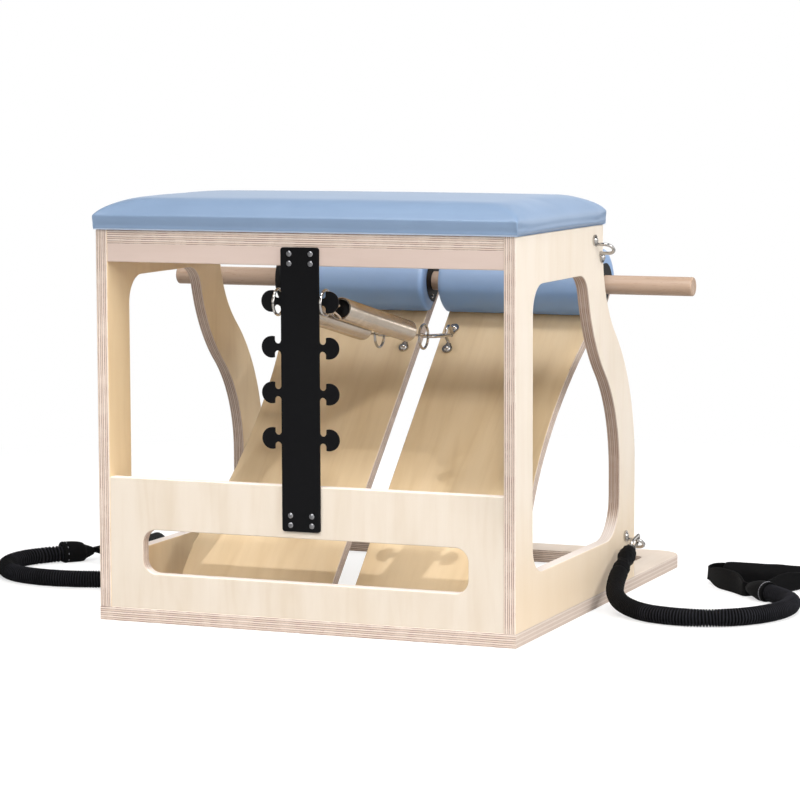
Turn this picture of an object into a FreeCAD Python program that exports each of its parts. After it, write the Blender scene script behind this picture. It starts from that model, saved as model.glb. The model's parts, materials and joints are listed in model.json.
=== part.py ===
import FreeCAD, Part
import math
import os

from FreeCAD import Placement, Rotation, Vector

# Driving sizes, millimetres and degrees. Depths are measured forward from the rear face of the frame.

# Frame boards
OVERALL_WIDTH = 640.0
BASE_DEPTH = 790.0
BASE_THICK = 20.0
BASE_CORNER_RADIUS = 45.0
BASE_SIDE_STRIP = 46.0
BASE_FRONT_STRIP = 67.0
BASE_OPENING_RADIUS = 20.0
PANEL_THICK = 18.0
PANEL_TOP = 565.0
PANEL_TOP_DEPTH = 372.0
PANEL_FOOT_DEPTH = 528.0
PANEL_BROW = 35.0
FRONT_HOLLOW_RADIUS = 170.0
FRONT_BELLY_RADIUS = 270.0
CUTOUT_REAR_STRIP = 69.0
CUTOUT_TOP_STRIP = 70.0
CUTOUT_FOOT_STRIP = 72.0
CUTOUT_FRONT_STRIP = 74.0
CUTOUT_RADIUS = 40.0
CUTOUT_TOE_RADIUS = 60.0
EDGE_ROUND = 1.5
REAR_REVEAL = 1.0
SEAT_THICK = 20.0
RAIL_HEIGHT = 26.0
SLOT_SIDE_STRIP = 52.0
SLOT_FOOT_STRIP = 51.0
SLOT_HEAD_STRIP = 74.0
SLOT_HEIGHT = 64.0
SLOT_RADIUS = 20.0
LOWER_PANEL_LAP = 64.0

# Wooden pins inside the board joints
PIN_RADIUS = 4.0
PIN_IN_PANEL = 10.0
PIN_IN_BOARD = 20.0
PIN_CLEARANCE = 0.05
PIN_END_SPACE = 0.5
SEAT_PIN_DEPTHS = (60.0, 190.0, 320.0)
BASE_PIN_DEPTHS = (40.0, 250.0, 460.0)
LOWER_PANEL_PIN_INSET = 30.0

# Seat cushion
CUSHION_OVERHANG = 3.0
CUSHION_HEIGHT = 48.0
CUSHION_WALL = 21.0
CUSHION_CORNER_RADIUS = 4.0
CUSHION_SHOULDER = 75.0
CUSHION_CROWN = 3.0
CUSHION_DRAW = 1.5
CUSHION_BOARD_THICK = 12.0
CUSHION_BOARD_INSET = 24.0
CUSHION_SCREW_INSET = 60.0

# Spring plate with its hooks
PLATE_WIDTH = 58.0
PLATE_LENGTH = 400.0
PLATE_THICK = 3.0
PLATE_CORNER = 4.0
HOOK_COUNT = 4
HOOK_PITCH = 64.3
HOOK_TOP_DROP = 75.7
HOOK_RADIUS = 15.3
HOOK_LIP = 4.0
HOOK_THROAT = 10.5
HOOK_NECK = 9.6
PLATE_SCREW_HALF = 16.3
PLATE_SCREW_END = 9.0
PLATE_SCREW_ROW = 13.6

# Screws
SCREW_CLEARANCE = 0.05
SCREW_RECESS = 1.1
CROSS_WIDTH = 0.9
CROSS_REACH = 0.6
PLATE_SCREW_HEAD = 4.0
PLATE_SCREW_HEAD_HEIGHT = 1.8
PLATE_SCREW_SHANK = 1.9
PLATE_SCREW_LENGTH = 15.0
HINGE_SCREW_HEAD = 3.4
HINGE_SCREW_HEAD_HEIGHT = 1.2
HINGE_SCREW_SHANK = 1.7
HINGE_SCREW_LENGTH = 13.0
HINGE_SCREW_COUNT = 4
EYE_SCREW_HEAD = 5.4
EYE_SCREW_HEAD_HEIGHT = 3.4
EYE_SCREW_SHANK = 2.2
EYE_SCREW_LENGTH = 14.0
CAP_SCREW_HEAD = 3.6
CAP_SCREW_HEAD_HEIGHT = 1.8
CAP_SCREW_SHANK = 1.6
CAP_SCREW_LENGTH = 28.0
CUSHION_SCREW_HEAD = 4.5
CUSHION_SCREW_HEAD_HEIGHT = 2.2
CUSHION_SCREW_SHANK = 2.2
CUSHION_SCREW_LENGTH = 29.0

# Pedals and their hinges
PEDAL_ANGLE = 44.4
PEDAL_GAP = 36.0
PEDAL_SIDE_GAP = 12.0
PEDAL_THICK = 18.0
PEDAL_END = 657.0
PEDAL_HEEL = 8.0
PEDAL_WAIST = 25.0
PEDAL_WAIST_START = 98.0
PEDAL_WAIST_END = 584.0
PEDAL_CORNER = 6.0
HINGE_SETBACK = 117.0
HINGE_LENGTH = 180.0
KNUCKLE_COUNT = 5
KNUCKLE_RADIUS = 5.0
KNUCKLE_GAP = 0.4
KNUCKLE_LIFT = 0.4
HINGE_PIN_RADIUS = 2.5
HINGE_RUNNING = 0.05
LEAF_THICK = 2.0
LEAF_WIDTH = 34.0
LEAF_NOTCH = 1.0
OPENING_BEHIND_AXIS = 2.0

# Pedal pads and the dowel through them
PAD_CENTRE = 609.0
PAD_FOOT_WIDTH = 92.0
PAD_BELLY = 5.0
PAD_SIDE_HEIGHT = 54.0
PAD_HEIGHT = 77.0
PAD_EDGE_ROUND = 12.0
PAD_RIM = 7.0
CORE_WIDTH = 70.0
CORE_HEIGHT = 48.0
CORE_INSET = 12.0
CAP_RADIUS = 33.0
CAP_THICK = 6.0
CAP_ABOVE_BOARD = 0.4
CAP_SCREW_CIRCLE = 25.0
CAP_SCREW_ANGLES = (205.0, 335.0)
DOWEL_RADIUS = 14.5
DOWEL_LEFT_REACH = 134.0
DOWEL_RIGHT_REACH = 88.0
DOWEL_ABOVE_BOARD = 23.5
DOWEL_CLEARANCE = 0.35
DOWEL_CHAMFER = 2.5

# Eye straps
EYE_PITCH = 42.0
EYE_FOOT_RADIUS = 8.0
EYE_FOOT_THICK = 2.5
EYE_WIRE_RADIUS = 2.5
EYE_BOW_RADIUS = 11.0
EYE_LEG = 13.0
PEDAL_EYE_CENTRE = 511.0
SIDE_EYE_TILT = -39.0
UPPER_EYE_BACK = 24.5
UPPER_EYE_DROP = 34.6
LOWER_EYE_BACK = 30.0
LOWER_EYE_RISE = 56.0

# Springs with their rings and snap hooks
SPRING_OFFSET = 36.0
SPRING_SAG = 1.63
SPRING_RADIUS = 13.6
SPRING_WIRE = 5.0
SPRING_TURNS = 40
SPRING_LOOP_RADIUS = 10.0
SPRING_UPPER_REACH = 39.0
SPRING_LOWER_REACH = 42.0
SPRING_TAIL_ANGLE = 50.0
RING_RADIUS = 18.0
RING_WIRE = 4.0
RING_SLACK = 8.0
LINK_GAP = 0.3
SNAP_LENGTH = 85.0
SNAP_HALF_WIDTH = 10.5
SNAP_ROD = 5.0
SNAP_GATE_LENGTH = 30.0
SNAP_GATE_ROD = 4.0
SNAP_GATE_GAP = 0.4
EYE_PULL_ANGLE = 33.0

# Cords, cuffs and handles
CORD_DIAMETER = 25.0
CORD_ARC_SHARE = 0.45
CORD_CUFF_LENGTH = 60.0
CORD_CUFF_RADIUS = 12.5
CORD_CUFF_SWELL = 15.0
CORD_CUFF_NECK = 9.0
CORD_CUFF_FIRST_KNOT = 10.8
CORD_CUFF_WAIST = 24.0
CORD_CUFF_SECOND_KNOT = 40.8
CUFF_BAIL_RADIUS = 6.0
CUFF_BAIL_WIRE = 5.0
CUFF_BAIL_LEG = 4.0
CORD_SNAP_HALF_WIDTH = 8.0
CORD_SNAP_GATE_LENGTH = 18.0
CORD_EYE_PULL_ANGLE = 20.0
HANDLE_CUFF_LENGTH = 46.0
HANDLE_CUFF_RADIUS = 14.0
HANDLE_CUFF_STRAIGHT = 11.5
HANDLE_CUFF_TIP = 7.0
STRAP_THICK = 3.0
STRAP_WIDTH = 32.0
STRAP_REACH = 110.0
STRAP_HALF_SPREAD = 84.0
STRAP_GRIP_CORNER = 10.0
STRAP_TIP_CORNER = 7.0
RIGHT_HANDLE_ANGLE = -50.0
LEFT_HANDLE_ANGLE = -17.0
GRIP_HALF_LENGTH = 62.0
GRIP_RADIUS = 17.0
GRIP_END_RADIUS = 15.5
FLOOR_CLEARANCE = 0.5

# Hand-laid cord routes from the knotted cuff to the handle: outwards from the side panel,
# forward from the lower eye and up from the floor
RIGHT_CORD_ROUTE = (
    (22.0, -108.0, 50.0),
    (24.0, -148.0, 32.0),
    (47.0, -190.0, 18.0),
    (90.0, -228.0, 13.0),
    (139.0, -248.0, 13.0),
    (187.0, -246.0, 13.0),
    (228.0, -226.0, 13.0),
    (258.0, -192.0, 13.0),
    (276.0, -150.0, 13.0),
    (281.0, -108.0, 13.0),
    (275.0, -66.0, 13.0),
    (250.0, -30.0, 13.0),
    (217.0, -2.0, 14.0),
)
LEFT_CORD_ROUTE = (
    (22.0, -108.0, 50.0),
    (25.0, -164.0, 28.0),
    (57.0, -213.0, 14.0),
    (106.0, -244.0, 13.0),
    (160.0, -263.0, 13.0),
    (216.0, -269.0, 13.0),
    (271.0, -256.0, 13.0),
    (314.0, -222.0, 13.0),
    (339.0, -174.0, 13.0),
    (345.0, -124.0, 13.0),
    (331.0, -79.0, 13.0),
    (300.0, -46.0, 14.0),
)

# Sizes that follow from the ones above
half_width = OVERALL_WIDTH / 2
inner_half = half_width - PANEL_THICK
rear_shift = Vector(0, -BASE_DEPTH / 2, 0)
seat_underside = PANEL_TOP - SEAT_THICK
plate_top = seat_underside
plate_bottom = plate_top - PLATE_LENGTH
slot_bottom = BASE_THICK + SLOT_FOOT_STRIP
slot_top = slot_bottom + SLOT_HEIGHT
lower_panel_top = max(plate_bottom + LOWER_PANEL_LAP, slot_top + SLOT_HEAD_STRIP)
hinge_height = BASE_THICK + KNUCKLE_RADIUS + KNUCKLE_LIFT
board_face = -KNUCKLE_RADIUS - KNUCKLE_LIFT
pedal_inner = PEDAL_GAP / 2
pedal_outer = half_width - BASE_SIDE_STRIP - PEDAL_SIDE_GAP
pedal_width = pedal_outer - pedal_inner
pedal_middle = (pedal_inner + pedal_outer) / 2
dowel_height = board_face + DOWEL_ABOVE_BOARD
dowel_left = -half_width - DOWEL_LEFT_REACH
dowel_right = half_width + DOWEL_RIGHT_REACH
opening_rear = HINGE_SETBACK + OPENING_BEHIND_AXIS
cushion_middle = PANEL_TOP_DEPTH / 2
axis_x = Vector(1, 0, 0)
axis_y = Vector(0, 1, 0)
axis_z = Vector(0, 0, 1)
hinge_point = Vector(0, HINGE_SETBACK, hinge_height)
pedal_place = Placement(hinge_point, Rotation(axis_x, PEDAL_ANGLE))


def box(x0, x1, y0, y1, z0, z1):
    """Block between two corners."""
    return Part.makeBox(x1 - x0, y1 - y0, z1 - z0, Vector(x0, y0, z0))


def rod(start, end, radius):
    """Round bar between two points."""
    run = end - start
    return Part.makeCylinder(radius, run.Length, start, run)


def join(shapes):
    """One solid from overlapping solids."""
    result = shapes[0].fuse(shapes[1:])
    return result.removeSplitter()


def group(shapes):
    """Separate solids kept side by side."""
    return Part.makeCompound(shapes)


def mirrored(shape):
    """The same shape on the left side."""
    return shape.mirror(Vector(0, 0, 0), axis_x)


def placed(shape, place):
    """Copy of a shape moved to a place."""
    copy = shape.copy()
    copy.Placement = place.multiply(copy.Placement)
    return copy


def standing(origin, along, normal):
    """Place whose X runs along a direction and whose Z is the normal."""
    return Placement(origin, Rotation(along, normal.cross(along), normal, "ZXY"))


def prism(edges, direction):
    """Solid drawn from a closed outline along a direction."""
    return Part.Face(Part.Wire(Part.__sortEdges__(edges))).extrude(direction)


def arc(start, middle, end):
    """Circular edge through three points."""
    return Part.Arc(start, middle, end).toShape()


def circle_through(start, heading, end):
    """Arc that leaves a point along a heading and reaches another point."""
    chord = end - start
    side = chord - heading * chord.dot(heading)
    radius = chord.dot(chord) / (2 * side.Length)
    centre = start + Vector(side).normalize() * radius
    spoke = (start - centre) + (end - centre)
    return arc(start, centre + spoke.normalize() * radius, end)


def edges_at(shape, points, reach):
    """Edges whose middle lies near one of the points."""
    found = []
    for edge in shape.Edges:
        middle = edge.CenterOfMass
        if any((middle - point).Length < reach for point in points):
            found.append(edge)
    return found


def edges_on_level(shape, axis, level):
    """Edges that lie wholly in a plane square to an axis."""
    found = []
    for edge in shape.Edges:
        offsets = [abs(vertex.Point.dot(axis) - level) for vertex in edge.Vertexes]
        offsets.append(abs(edge.CenterOfMass.dot(axis) - level))
        if max(offsets) < 0.01:
            found.append(edge)
    return found


def tube(edges, radius):
    """Round tube along a smooth chain of edges."""
    path = Part.Wire(edges)
    first = path.OrderedEdges[0]
    start = path.OrderedVertexes[0].Point
    heading = first.tangentAt(first.FirstParameter)
    if (first.valueAt(first.FirstParameter) - start).Length > 0.001:
        heading = first.tangentAt(first.LastParameter).negative()
    ring = Part.Wire([Part.makeCircle(radius, start, heading)])
    return path.makePipeShell([ring], True, False)


def screw(head_radius, head_height, shank_radius, length, crossed):
    """Dome-head screw standing on the plane z = 0."""
    dome_radius = (head_radius ** 2 + head_height ** 2) / (2 * head_height)
    dome = Part.makeSphere(dome_radius, Vector(0, 0, head_height - dome_radius))
    head = dome.common(box(-head_radius, head_radius, -head_radius, head_radius, 0, head_height))
    shank = rod(Vector(0, 0, -length), Vector(0, 0, head_height / 2), shank_radius)
    solid = join([head, shank])
    if crossed:
        reach = head_radius * CROSS_REACH
        floor = head_height - SCREW_RECESS
        half = CROSS_WIDTH / 2
        solid = solid.cut(box(-reach, reach, -half, half, floor, head_height))
        solid = solid.cut(box(-half, half, -reach, reach, floor, head_height))
    return solid


def screw_hole(shank_radius, length, place):
    """Clearance hole for a screw."""
    hole = rod(Vector(0, 0, -length - PIN_END_SPACE), Vector(0, 0, length), shank_radius + SCREW_CLEARANCE)
    return placed(hole, place)


def save(node, shape):
    """Write one node, with the origin moved to the middle of the footprint."""
    final = shape.copy()
    final.translate(rear_shift)
    final.exportStep(os.path.join("parts", node + ".step"))
    solids = final.Solids
    print(node, len(solids), round(sum(solid.Volume for solid in solids) / 1000, 2), final.isValid())


# Front curve of the side panel: a hollow arc that turns into a belly arc
front_shift = PANEL_FOOT_DEPTH - PANEL_TOP_DEPTH
front_turn = math.acos(1 - front_shift / (FRONT_HOLLOW_RADIUS + FRONT_BELLY_RADIUS))
hollow_y = PANEL_TOP_DEPTH + FRONT_HOLLOW_RADIUS
hollow_z = PANEL_TOP - PANEL_BROW
belly_y = PANEL_FOOT_DEPTH - FRONT_BELLY_RADIUS
belly_z = hollow_z - (FRONT_HOLLOW_RADIUS + FRONT_BELLY_RADIUS) * math.sin(front_turn)


def hollow_point(x, inset, angle):
    """Point on the hollow arc, moved inwards by the inset."""
    radius = FRONT_HOLLOW_RADIUS + inset
    return Vector(x, hollow_y - radius * math.cos(angle), hollow_z - radius * math.sin(angle))


def belly_point(x, inset, angle):
    """Point on the belly arc, moved inwards by the inset."""
    radius = FRONT_BELLY_RADIUS - inset
    return Vector(x, belly_y + radius * math.cos(angle), belly_z + radius * math.sin(angle))


def front_curve(x, inset, start_angle):
    """The two arcs of the front edge from a start angle down to the belly's end."""
    half = (start_angle + front_turn) / 2
    hollow = arc(hollow_point(x, inset, start_angle), hollow_point(x, inset, half),
                 hollow_point(x, inset, front_turn))
    belly = arc(belly_point(x, inset, front_turn), belly_point(x, inset, front_turn / 2),
                belly_point(x, inset, 0))
    return [hollow, belly]


def side_panel():
    """Right side panel with its rounded cut-out."""
    x = inner_half
    foot_rear = Vector(x, 0, BASE_THICK)
    top_rear = Vector(x, 0, PANEL_TOP)
    top_front = Vector(x, PANEL_TOP_DEPTH, PANEL_TOP)
    foot_front = Vector(x, PANEL_FOOT_DEPTH, BASE_THICK)
    outline = [
        Part.makeLine(foot_rear, top_rear),
        Part.makeLine(top_rear, top_front),
        Part.makeLine(top_front, hollow_point(x, 0, 0)),
        *front_curve(x, 0, 0),
        Part.makeLine(belly_point(x, 0, 0), foot_front),
        Part.makeLine(foot_front, foot_rear),
    ]
    solid = prism(outline, Vector(PANEL_THICK, 0, 0))
    low = BASE_THICK + CUTOUT_FOOT_STRIP
    high = PANEL_TOP - CUTOUT_TOP_STRIP
    start_angle = math.asin((hollow_z - high) / (FRONT_HOLLOW_RADIUS + CUTOUT_FRONT_STRIP))
    low_rear = Vector(x, CUTOUT_REAR_STRIP, low)
    high_rear = Vector(x, CUTOUT_REAR_STRIP, high)
    high_front = hollow_point(x, CUTOUT_FRONT_STRIP, start_angle)
    low_front = Vector(x, PANEL_FOOT_DEPTH - CUTOUT_FRONT_STRIP, low)
    hole_outline = [
        Part.makeLine(low_rear, high_rear),
        Part.makeLine(high_rear, high_front),
        *front_curve(x, CUTOUT_FRONT_STRIP, start_angle),
        Part.makeLine(belly_point(x, CUTOUT_FRONT_STRIP, 0), low_front),
        Part.makeLine(low_front, low_rear),
    ]
    hole = prism(hole_outline, Vector(PANEL_THICK, 0, 0))
    across = Vector(PANEL_THICK / 2, 0, 0)
    corners = [low_rear + across, high_rear + across, high_front + across]
    hole = hole.makeFillet(CUTOUT_RADIUS, edges_at(hole, corners, 1))
    hole = hole.makeFillet(CUTOUT_TOE_RADIUS, edges_at(hole, [low_front + across], 1))
    solid = solid.cut(hole)
    rims = edges_on_level(solid, axis_x, x) + edges_on_level(solid, axis_x, x + PANEL_THICK)
    rims = [edge for edge in rims if edge.BoundBox.ZMax > BASE_THICK + 1]
    return solid.makeFillet(EDGE_ROUND, rims)


def base_board():
    """Base board with rounded front corners and one large opening."""
    solid = box(-half_width, half_width, 0, BASE_DEPTH, 0, BASE_THICK)
    front = [Vector(side * half_width, BASE_DEPTH, BASE_THICK / 2) for side in (-1, 1)]
    solid = solid.makeFillet(BASE_CORNER_RADIUS, edges_at(solid, front, 1))
    open_half = half_width - BASE_SIDE_STRIP
    open_front = BASE_DEPTH - BASE_FRONT_STRIP
    opening = box(-open_half, open_half, opening_rear, open_front, 0, BASE_THICK)
    corners = [
        Vector(side * open_half, y, BASE_THICK / 2)
        for side in (-1, 1) for y in (opening_rear, open_front)
    ]
    opening = opening.makeFillet(BASE_OPENING_RADIUS, edges_at(opening, corners, 1))
    solid = solid.cut(opening)
    return solid.makeFillet(EDGE_ROUND, edges_on_level(solid, axis_z, BASE_THICK))


def lower_panel():
    """Rear lower panel with a hand slot."""
    depth = REAR_REVEAL + PANEL_THICK
    solid = box(-inner_half, inner_half, REAR_REVEAL, depth, BASE_THICK, lower_panel_top)
    slot_half = inner_half - SLOT_SIDE_STRIP
    slot = box(-slot_half, slot_half, REAR_REVEAL, depth, slot_bottom, slot_top)
    corners = [
        Vector(side * slot_half, REAR_REVEAL + PANEL_THICK / 2, z)
        for side in (-1, 1) for z in (slot_bottom, slot_top)
    ]
    slot = slot.makeFillet(SLOT_RADIUS, edges_at(slot, corners, 1))
    solid = solid.cut(slot)
    rims = edges_on_level(solid, axis_y, REAR_REVEAL) + edges_on_level(solid, axis_y, depth)
    rims = [
        edge for edge in rims
        if edge.BoundBox.ZMax > BASE_THICK + 1 and abs(edge.CenterOfMass.x) < inner_half - 1
    ]
    return solid.makeFillet(EDGE_ROUND, rims)


def seat_board():
    """Board between the side panels that carries the cushion."""
    return box(-inner_half, inner_half, REAR_REVEAL, PANEL_TOP_DEPTH, seat_underside, PANEL_TOP)


def seat_rail():
    """Rail under the rear edge of the seat board."""
    low = seat_underside - RAIL_HEIGHT
    solid = box(-inner_half, inner_half, REAR_REVEAL, REAR_REVEAL + PANEL_THICK, low, seat_underside)
    rims = [Vector(0, REAR_REVEAL, low), Vector(0, REAR_REVEAL + PANEL_THICK, low)]
    return solid.makeFillet(EDGE_ROUND, edges_at(solid, rims, 1))


def frame_pins(clearance, end_space):
    """Wooden pins of the board joints, or their holes."""
    pins = []
    middle = REAR_REVEAL + PANEL_THICK / 2
    seat_middle = seat_underside + SEAT_THICK / 2
    rail_middle = seat_underside - RAIL_HEIGHT / 2
    across = [(depth, seat_middle) for depth in SEAT_PIN_DEPTHS]
    across.append((middle, rail_middle))
    across.append((middle, BASE_THICK + LOWER_PANEL_PIN_INSET))
    across.append((middle, lower_panel_top - LOWER_PANEL_PIN_INSET))
    for depth, height in across:
        start = Vector(inner_half - PIN_IN_BOARD - end_space, depth, height)
        end = Vector(inner_half + PIN_IN_PANEL + end_space, depth, height)
        pins.append(rod(start, end, PIN_RADIUS + clearance))
    for depth in BASE_PIN_DEPTHS:
        x = inner_half + PANEL_THICK / 2
        start = Vector(x, depth, BASE_THICK - PIN_IN_PANEL - end_space)
        end = Vector(x, depth, BASE_THICK + PIN_IN_BOARD + end_space)
        pins.append(rod(start, end, PIN_RADIUS + clearance))
    return pins + [mirrored(pin) for pin in pins]


def cushion_profile(along, half, reach):
    """Cushion section across a direction: walls, round shoulders and a low crown, drawn along the other."""
    ridge = PANEL_TOP + CUSHION_WALL
    brow = PANEL_TOP + CUSHION_HEIGHT - CUSHION_CROWN
    top = Vector(0, cushion_middle, PANEL_TOP + CUSHION_HEIGHT)
    inner = half - CUSHION_SHOULDER
    tilt = 2 * math.atan(CUSHION_CROWN / inner)

    def spot(side, out, height):
        point = top + along * (side * out)
        point.z = height
        return point

    feet = [spot(side, half, PANEL_TOP) for side in (-1, 1)]
    ridges = [spot(side, half, ridge) for side in (-1, 1)]
    brows = [spot(side, inner, brow) for side in (-1, 1)]
    edges = [Part.makeLine(feet[0], feet[1]), arc(brows[0], top, brows[1])]
    for i, side in enumerate((-1, 1)):
        outward = along * (side * math.cos(tilt)) - axis_z * math.sin(tilt)
        edges.append(Part.makeLine(feet[i], ridges[i]))
        edges.append(circle_through(brows[i], outward, ridges[i]))
    across = axis_z.cross(along)
    return prism([edge.translated(across * -reach) for edge in edges], across * (2 * reach))


def cushion_parts():
    """Crowned cushion with drawn-in sides, its inner board and the screw places."""
    x = half_width + CUSHION_OVERHANG
    rear = -CUSHION_OVERHANG
    front = PANEL_TOP_DEPTH + CUSHION_OVERHANG
    half_depth = (front - rear) / 2
    corners = [
        Vector(-x, rear, PANEL_TOP),
        Vector(x, rear, PANEL_TOP),
        Vector(x, front, PANEL_TOP),
        Vector(-x, front, PANEL_TOP),
    ]
    drawn = [
        Vector(0, rear + CUSHION_DRAW, PANEL_TOP),
        Vector(x - CUSHION_DRAW, cushion_middle, PANEL_TOP),
        Vector(0, front - CUSHION_DRAW, PANEL_TOP),
        Vector(-x + CUSHION_DRAW, cushion_middle, PANEL_TOP),
    ]
    sides = [arc(corners[i], drawn[i], corners[(i + 1) % 4]) for i in range(4)]
    solid = prism(sides, Vector(0, 0, CUSHION_HEIGHT + CUSHION_CROWN))
    posts = [corner + Vector(0, 0, (CUSHION_HEIGHT + CUSHION_CROWN) / 2) for corner in corners]
    solid = solid.makeFillet(CUSHION_CORNER_RADIUS, edges_at(solid, posts, 1))
    solid = solid.common(cushion_profile(axis_x, x, half_depth))
    solid = solid.common(cushion_profile(axis_y, half_depth, x))
    board = box(-x + CUSHION_BOARD_INSET, x - CUSHION_BOARD_INSET, rear + CUSHION_BOARD_INSET,
                front - CUSHION_BOARD_INSET, PANEL_TOP, PANEL_TOP + CUSHION_BOARD_THICK)
    places = []
    for sx in (-1, 1):
        for sy in (-1, 1):
            spot = Vector(sx * (inner_half - CUSHION_SCREW_INSET),
                          cushion_middle + sy * (half_depth - CUSHION_SCREW_INSET), seat_underside)
            places.append(standing(spot, axis_x, Vector(0, 0, -1)))
    return solid.cut(board), board, places


def spring_plate():
    """Black plate with a column of hooks on each edge, and its screw places."""
    rear = REAR_REVEAL - PLATE_THICK
    half = PLATE_WIDTH / 2
    plate = box(-half, half, rear, REAR_REVEAL, plate_bottom, plate_top)
    corners = [
        Vector(side * half, rear + PLATE_THICK / 2, z)
        for side in (-1, 1) for z in (plate_bottom, plate_top)
    ]
    plate = plate.makeFillet(PLATE_CORNER, edges_at(plate, corners, 1))
    face = half + HOOK_THROAT
    scallop = HOOK_THROAT / 2
    pieces = [plate]
    for i in range(HOOK_COUNT):
        z = plate_top - HOOK_TOP_DROP - i * HOOK_PITCH
        centre = Vector(face + HOOK_LIP, rear, z)
        disc = Part.makeCylinder(HOOK_RADIUS, PLATE_THICK, centre, axis_y)
        outer = box(face, face + 2 * HOOK_RADIUS, rear, REAR_REVEAL, z - HOOK_RADIUS, z + HOOK_RADIUS)
        disc = disc.common(outer)
        reach = HOOK_NECK / 2 + scallop
        neck = box(half - 1, face + 1, rear, REAR_REVEAL, z - reach, z + reach)
        for side in (-1, 1):
            bite = Vector(half + scallop, rear, z + side * reach)
            neck = neck.cut(Part.makeCylinder(scallop, PLATE_THICK, bite, axis_y))
        pieces += [disc, neck, mirrored(disc), mirrored(neck)]
    plate = join(pieces)
    places = []
    lower_end = lower_panel_top - LOWER_PANEL_LAP + PLATE_SCREW_END + PLATE_SCREW_ROW
    for end in (plate_top - PLATE_SCREW_END, lower_end):
        for row in (0, PLATE_SCREW_ROW):
            for side in (-1, 1):
                spot = Vector(side * PLATE_SCREW_HALF, rear, end - row)
                places.append(standing(spot, axis_x, Vector(0, -1, 0)))
    return plate, places


def knuckle_spans(first):
    """Ends of every second knuckle along the hinge."""
    pitch = HINGE_LENGTH / KNUCKLE_COUNT
    start = pedal_middle - HINGE_LENGTH / 2
    spans = []
    for i in range(first, KNUCKLE_COUNT, 2):
        spans.append((start + i * pitch + KNUCKLE_GAP / 2, start + (i + 1) * pitch - KNUCKLE_GAP / 2))
    return spans


def hinge_leaf(first):
    """Hinge leaf in the pedal's flat position, its axis along X through the origin."""
    start = pedal_middle - HINGE_LENGTH / 2
    end = pedal_middle + HINGE_LENGTH / 2
    notch = KNUCKLE_RADIUS + LEAF_NOTCH
    top = board_face + LEAF_THICK
    pieces = [box(start, end, notch, LEAF_WIDTH, board_face, top)]
    for x0, x1 in knuckle_spans(first):
        pieces.append(rod(Vector(x0, 0, 0), Vector(x1, 0, 0), KNUCKLE_RADIUS))
        pieces.append(box(x0, x1, LEAF_NOTCH, notch + 1, board_face, top))
    leaf = join(pieces)
    return leaf.cut(rod(Vector(start, 0, 0), Vector(end, 0, 0), HINGE_PIN_RADIUS + HINGE_RUNNING))


def leaf_screw_places():
    """Screw places on a leaf in the pedal's flat position."""
    places = []
    spacing = HINGE_LENGTH / HINGE_SCREW_COUNT
    start = pedal_middle - HINGE_LENGTH / 2 + spacing / 2
    depth = (KNUCKLE_RADIUS + LEAF_NOTCH + LEAF_WIDTH) / 2
    for i in range(HINGE_SCREW_COUNT):
        spot = Vector(start + i * spacing, depth, board_face + LEAF_THICK)
        places.append(standing(spot, axis_x, axis_z))
    return places


def pedal_board():
    """Right pedal board lying flat, with a waisted outer edge."""
    low = board_face - PEDAL_THICK
    heel_inner = Vector(pedal_inner, PEDAL_HEEL, low)
    heel_outer = Vector(pedal_outer, PEDAL_HEEL, low)
    waist_start = Vector(pedal_outer, PEDAL_WAIST_START, low)
    waist = Vector(pedal_outer - PEDAL_WAIST, (PEDAL_WAIST_START + PEDAL_WAIST_END) / 2, low)
    waist_end = Vector(pedal_outer, PEDAL_WAIST_END, low)
    toe_outer = Vector(pedal_outer, PEDAL_END, low)
    toe_inner = Vector(pedal_inner, PEDAL_END, low)
    outline = [
        Part.makeLine(heel_inner, heel_outer),
        Part.makeLine(heel_outer, waist_start),
        arc(waist_start, waist, waist_end),
        Part.makeLine(waist_end, toe_outer),
        Part.makeLine(toe_outer, toe_inner),
        Part.makeLine(toe_inner, heel_inner),
    ]
    solid = prism(outline, Vector(0, 0, PEDAL_THICK))
    rise = Vector(0, 0, PEDAL_THICK / 2)
    corners = [point + rise for point in (heel_inner, heel_outer, toe_outer, toe_inner)]
    solid = solid.makeFillet(PEDAL_CORNER, edges_at(solid, corners, 1))
    rims = edges_on_level(solid, axis_z, low) + edges_on_level(solid, axis_z, board_face)
    return solid.makeFillet(EDGE_ROUND, rims)


def pad_outer():
    """Half-round pad lying flat on the pedal board."""
    x = pedal_inner
    half = PAD_FOOT_WIDTH / 2
    side_top = board_face + PAD_SIDE_HEIGHT
    side_middle = board_face + PAD_SIDE_HEIGHT / 2
    foot_low = Vector(x, PAD_CENTRE - half, board_face)
    foot_high = Vector(x, PAD_CENTRE + half, board_face)
    shoulder_low = Vector(x, PAD_CENTRE - half, side_top)
    shoulder_high = Vector(x, PAD_CENTRE + half, side_top)
    outline = [
        Part.makeLine(foot_high, foot_low),
        arc(foot_low, Vector(x, PAD_CENTRE - half - PAD_BELLY, side_middle), shoulder_low),
        arc(shoulder_low, Vector(x, PAD_CENTRE, board_face + PAD_HEIGHT), shoulder_high),
        arc(shoulder_high, Vector(x, PAD_CENTRE + half + PAD_BELLY, side_middle), foot_high),
    ]
    solid = prism(outline, Vector(pedal_width, 0, 0))
    across = Vector(pedal_width / 2, 0, 0)
    shoulders = [shoulder_low + across, shoulder_high + across]
    solid = solid.makeFillet(PAD_EDGE_ROUND, edges_at(solid, shoulders, 1))
    rims = edges_on_level(solid, axis_x, pedal_inner) + edges_on_level(solid, axis_x, pedal_outer)
    rims = [edge for edge in rims if edge.BoundBox.ZMax > board_face + 1]
    return solid.makeFillet(PAD_RIM, rims)


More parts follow.
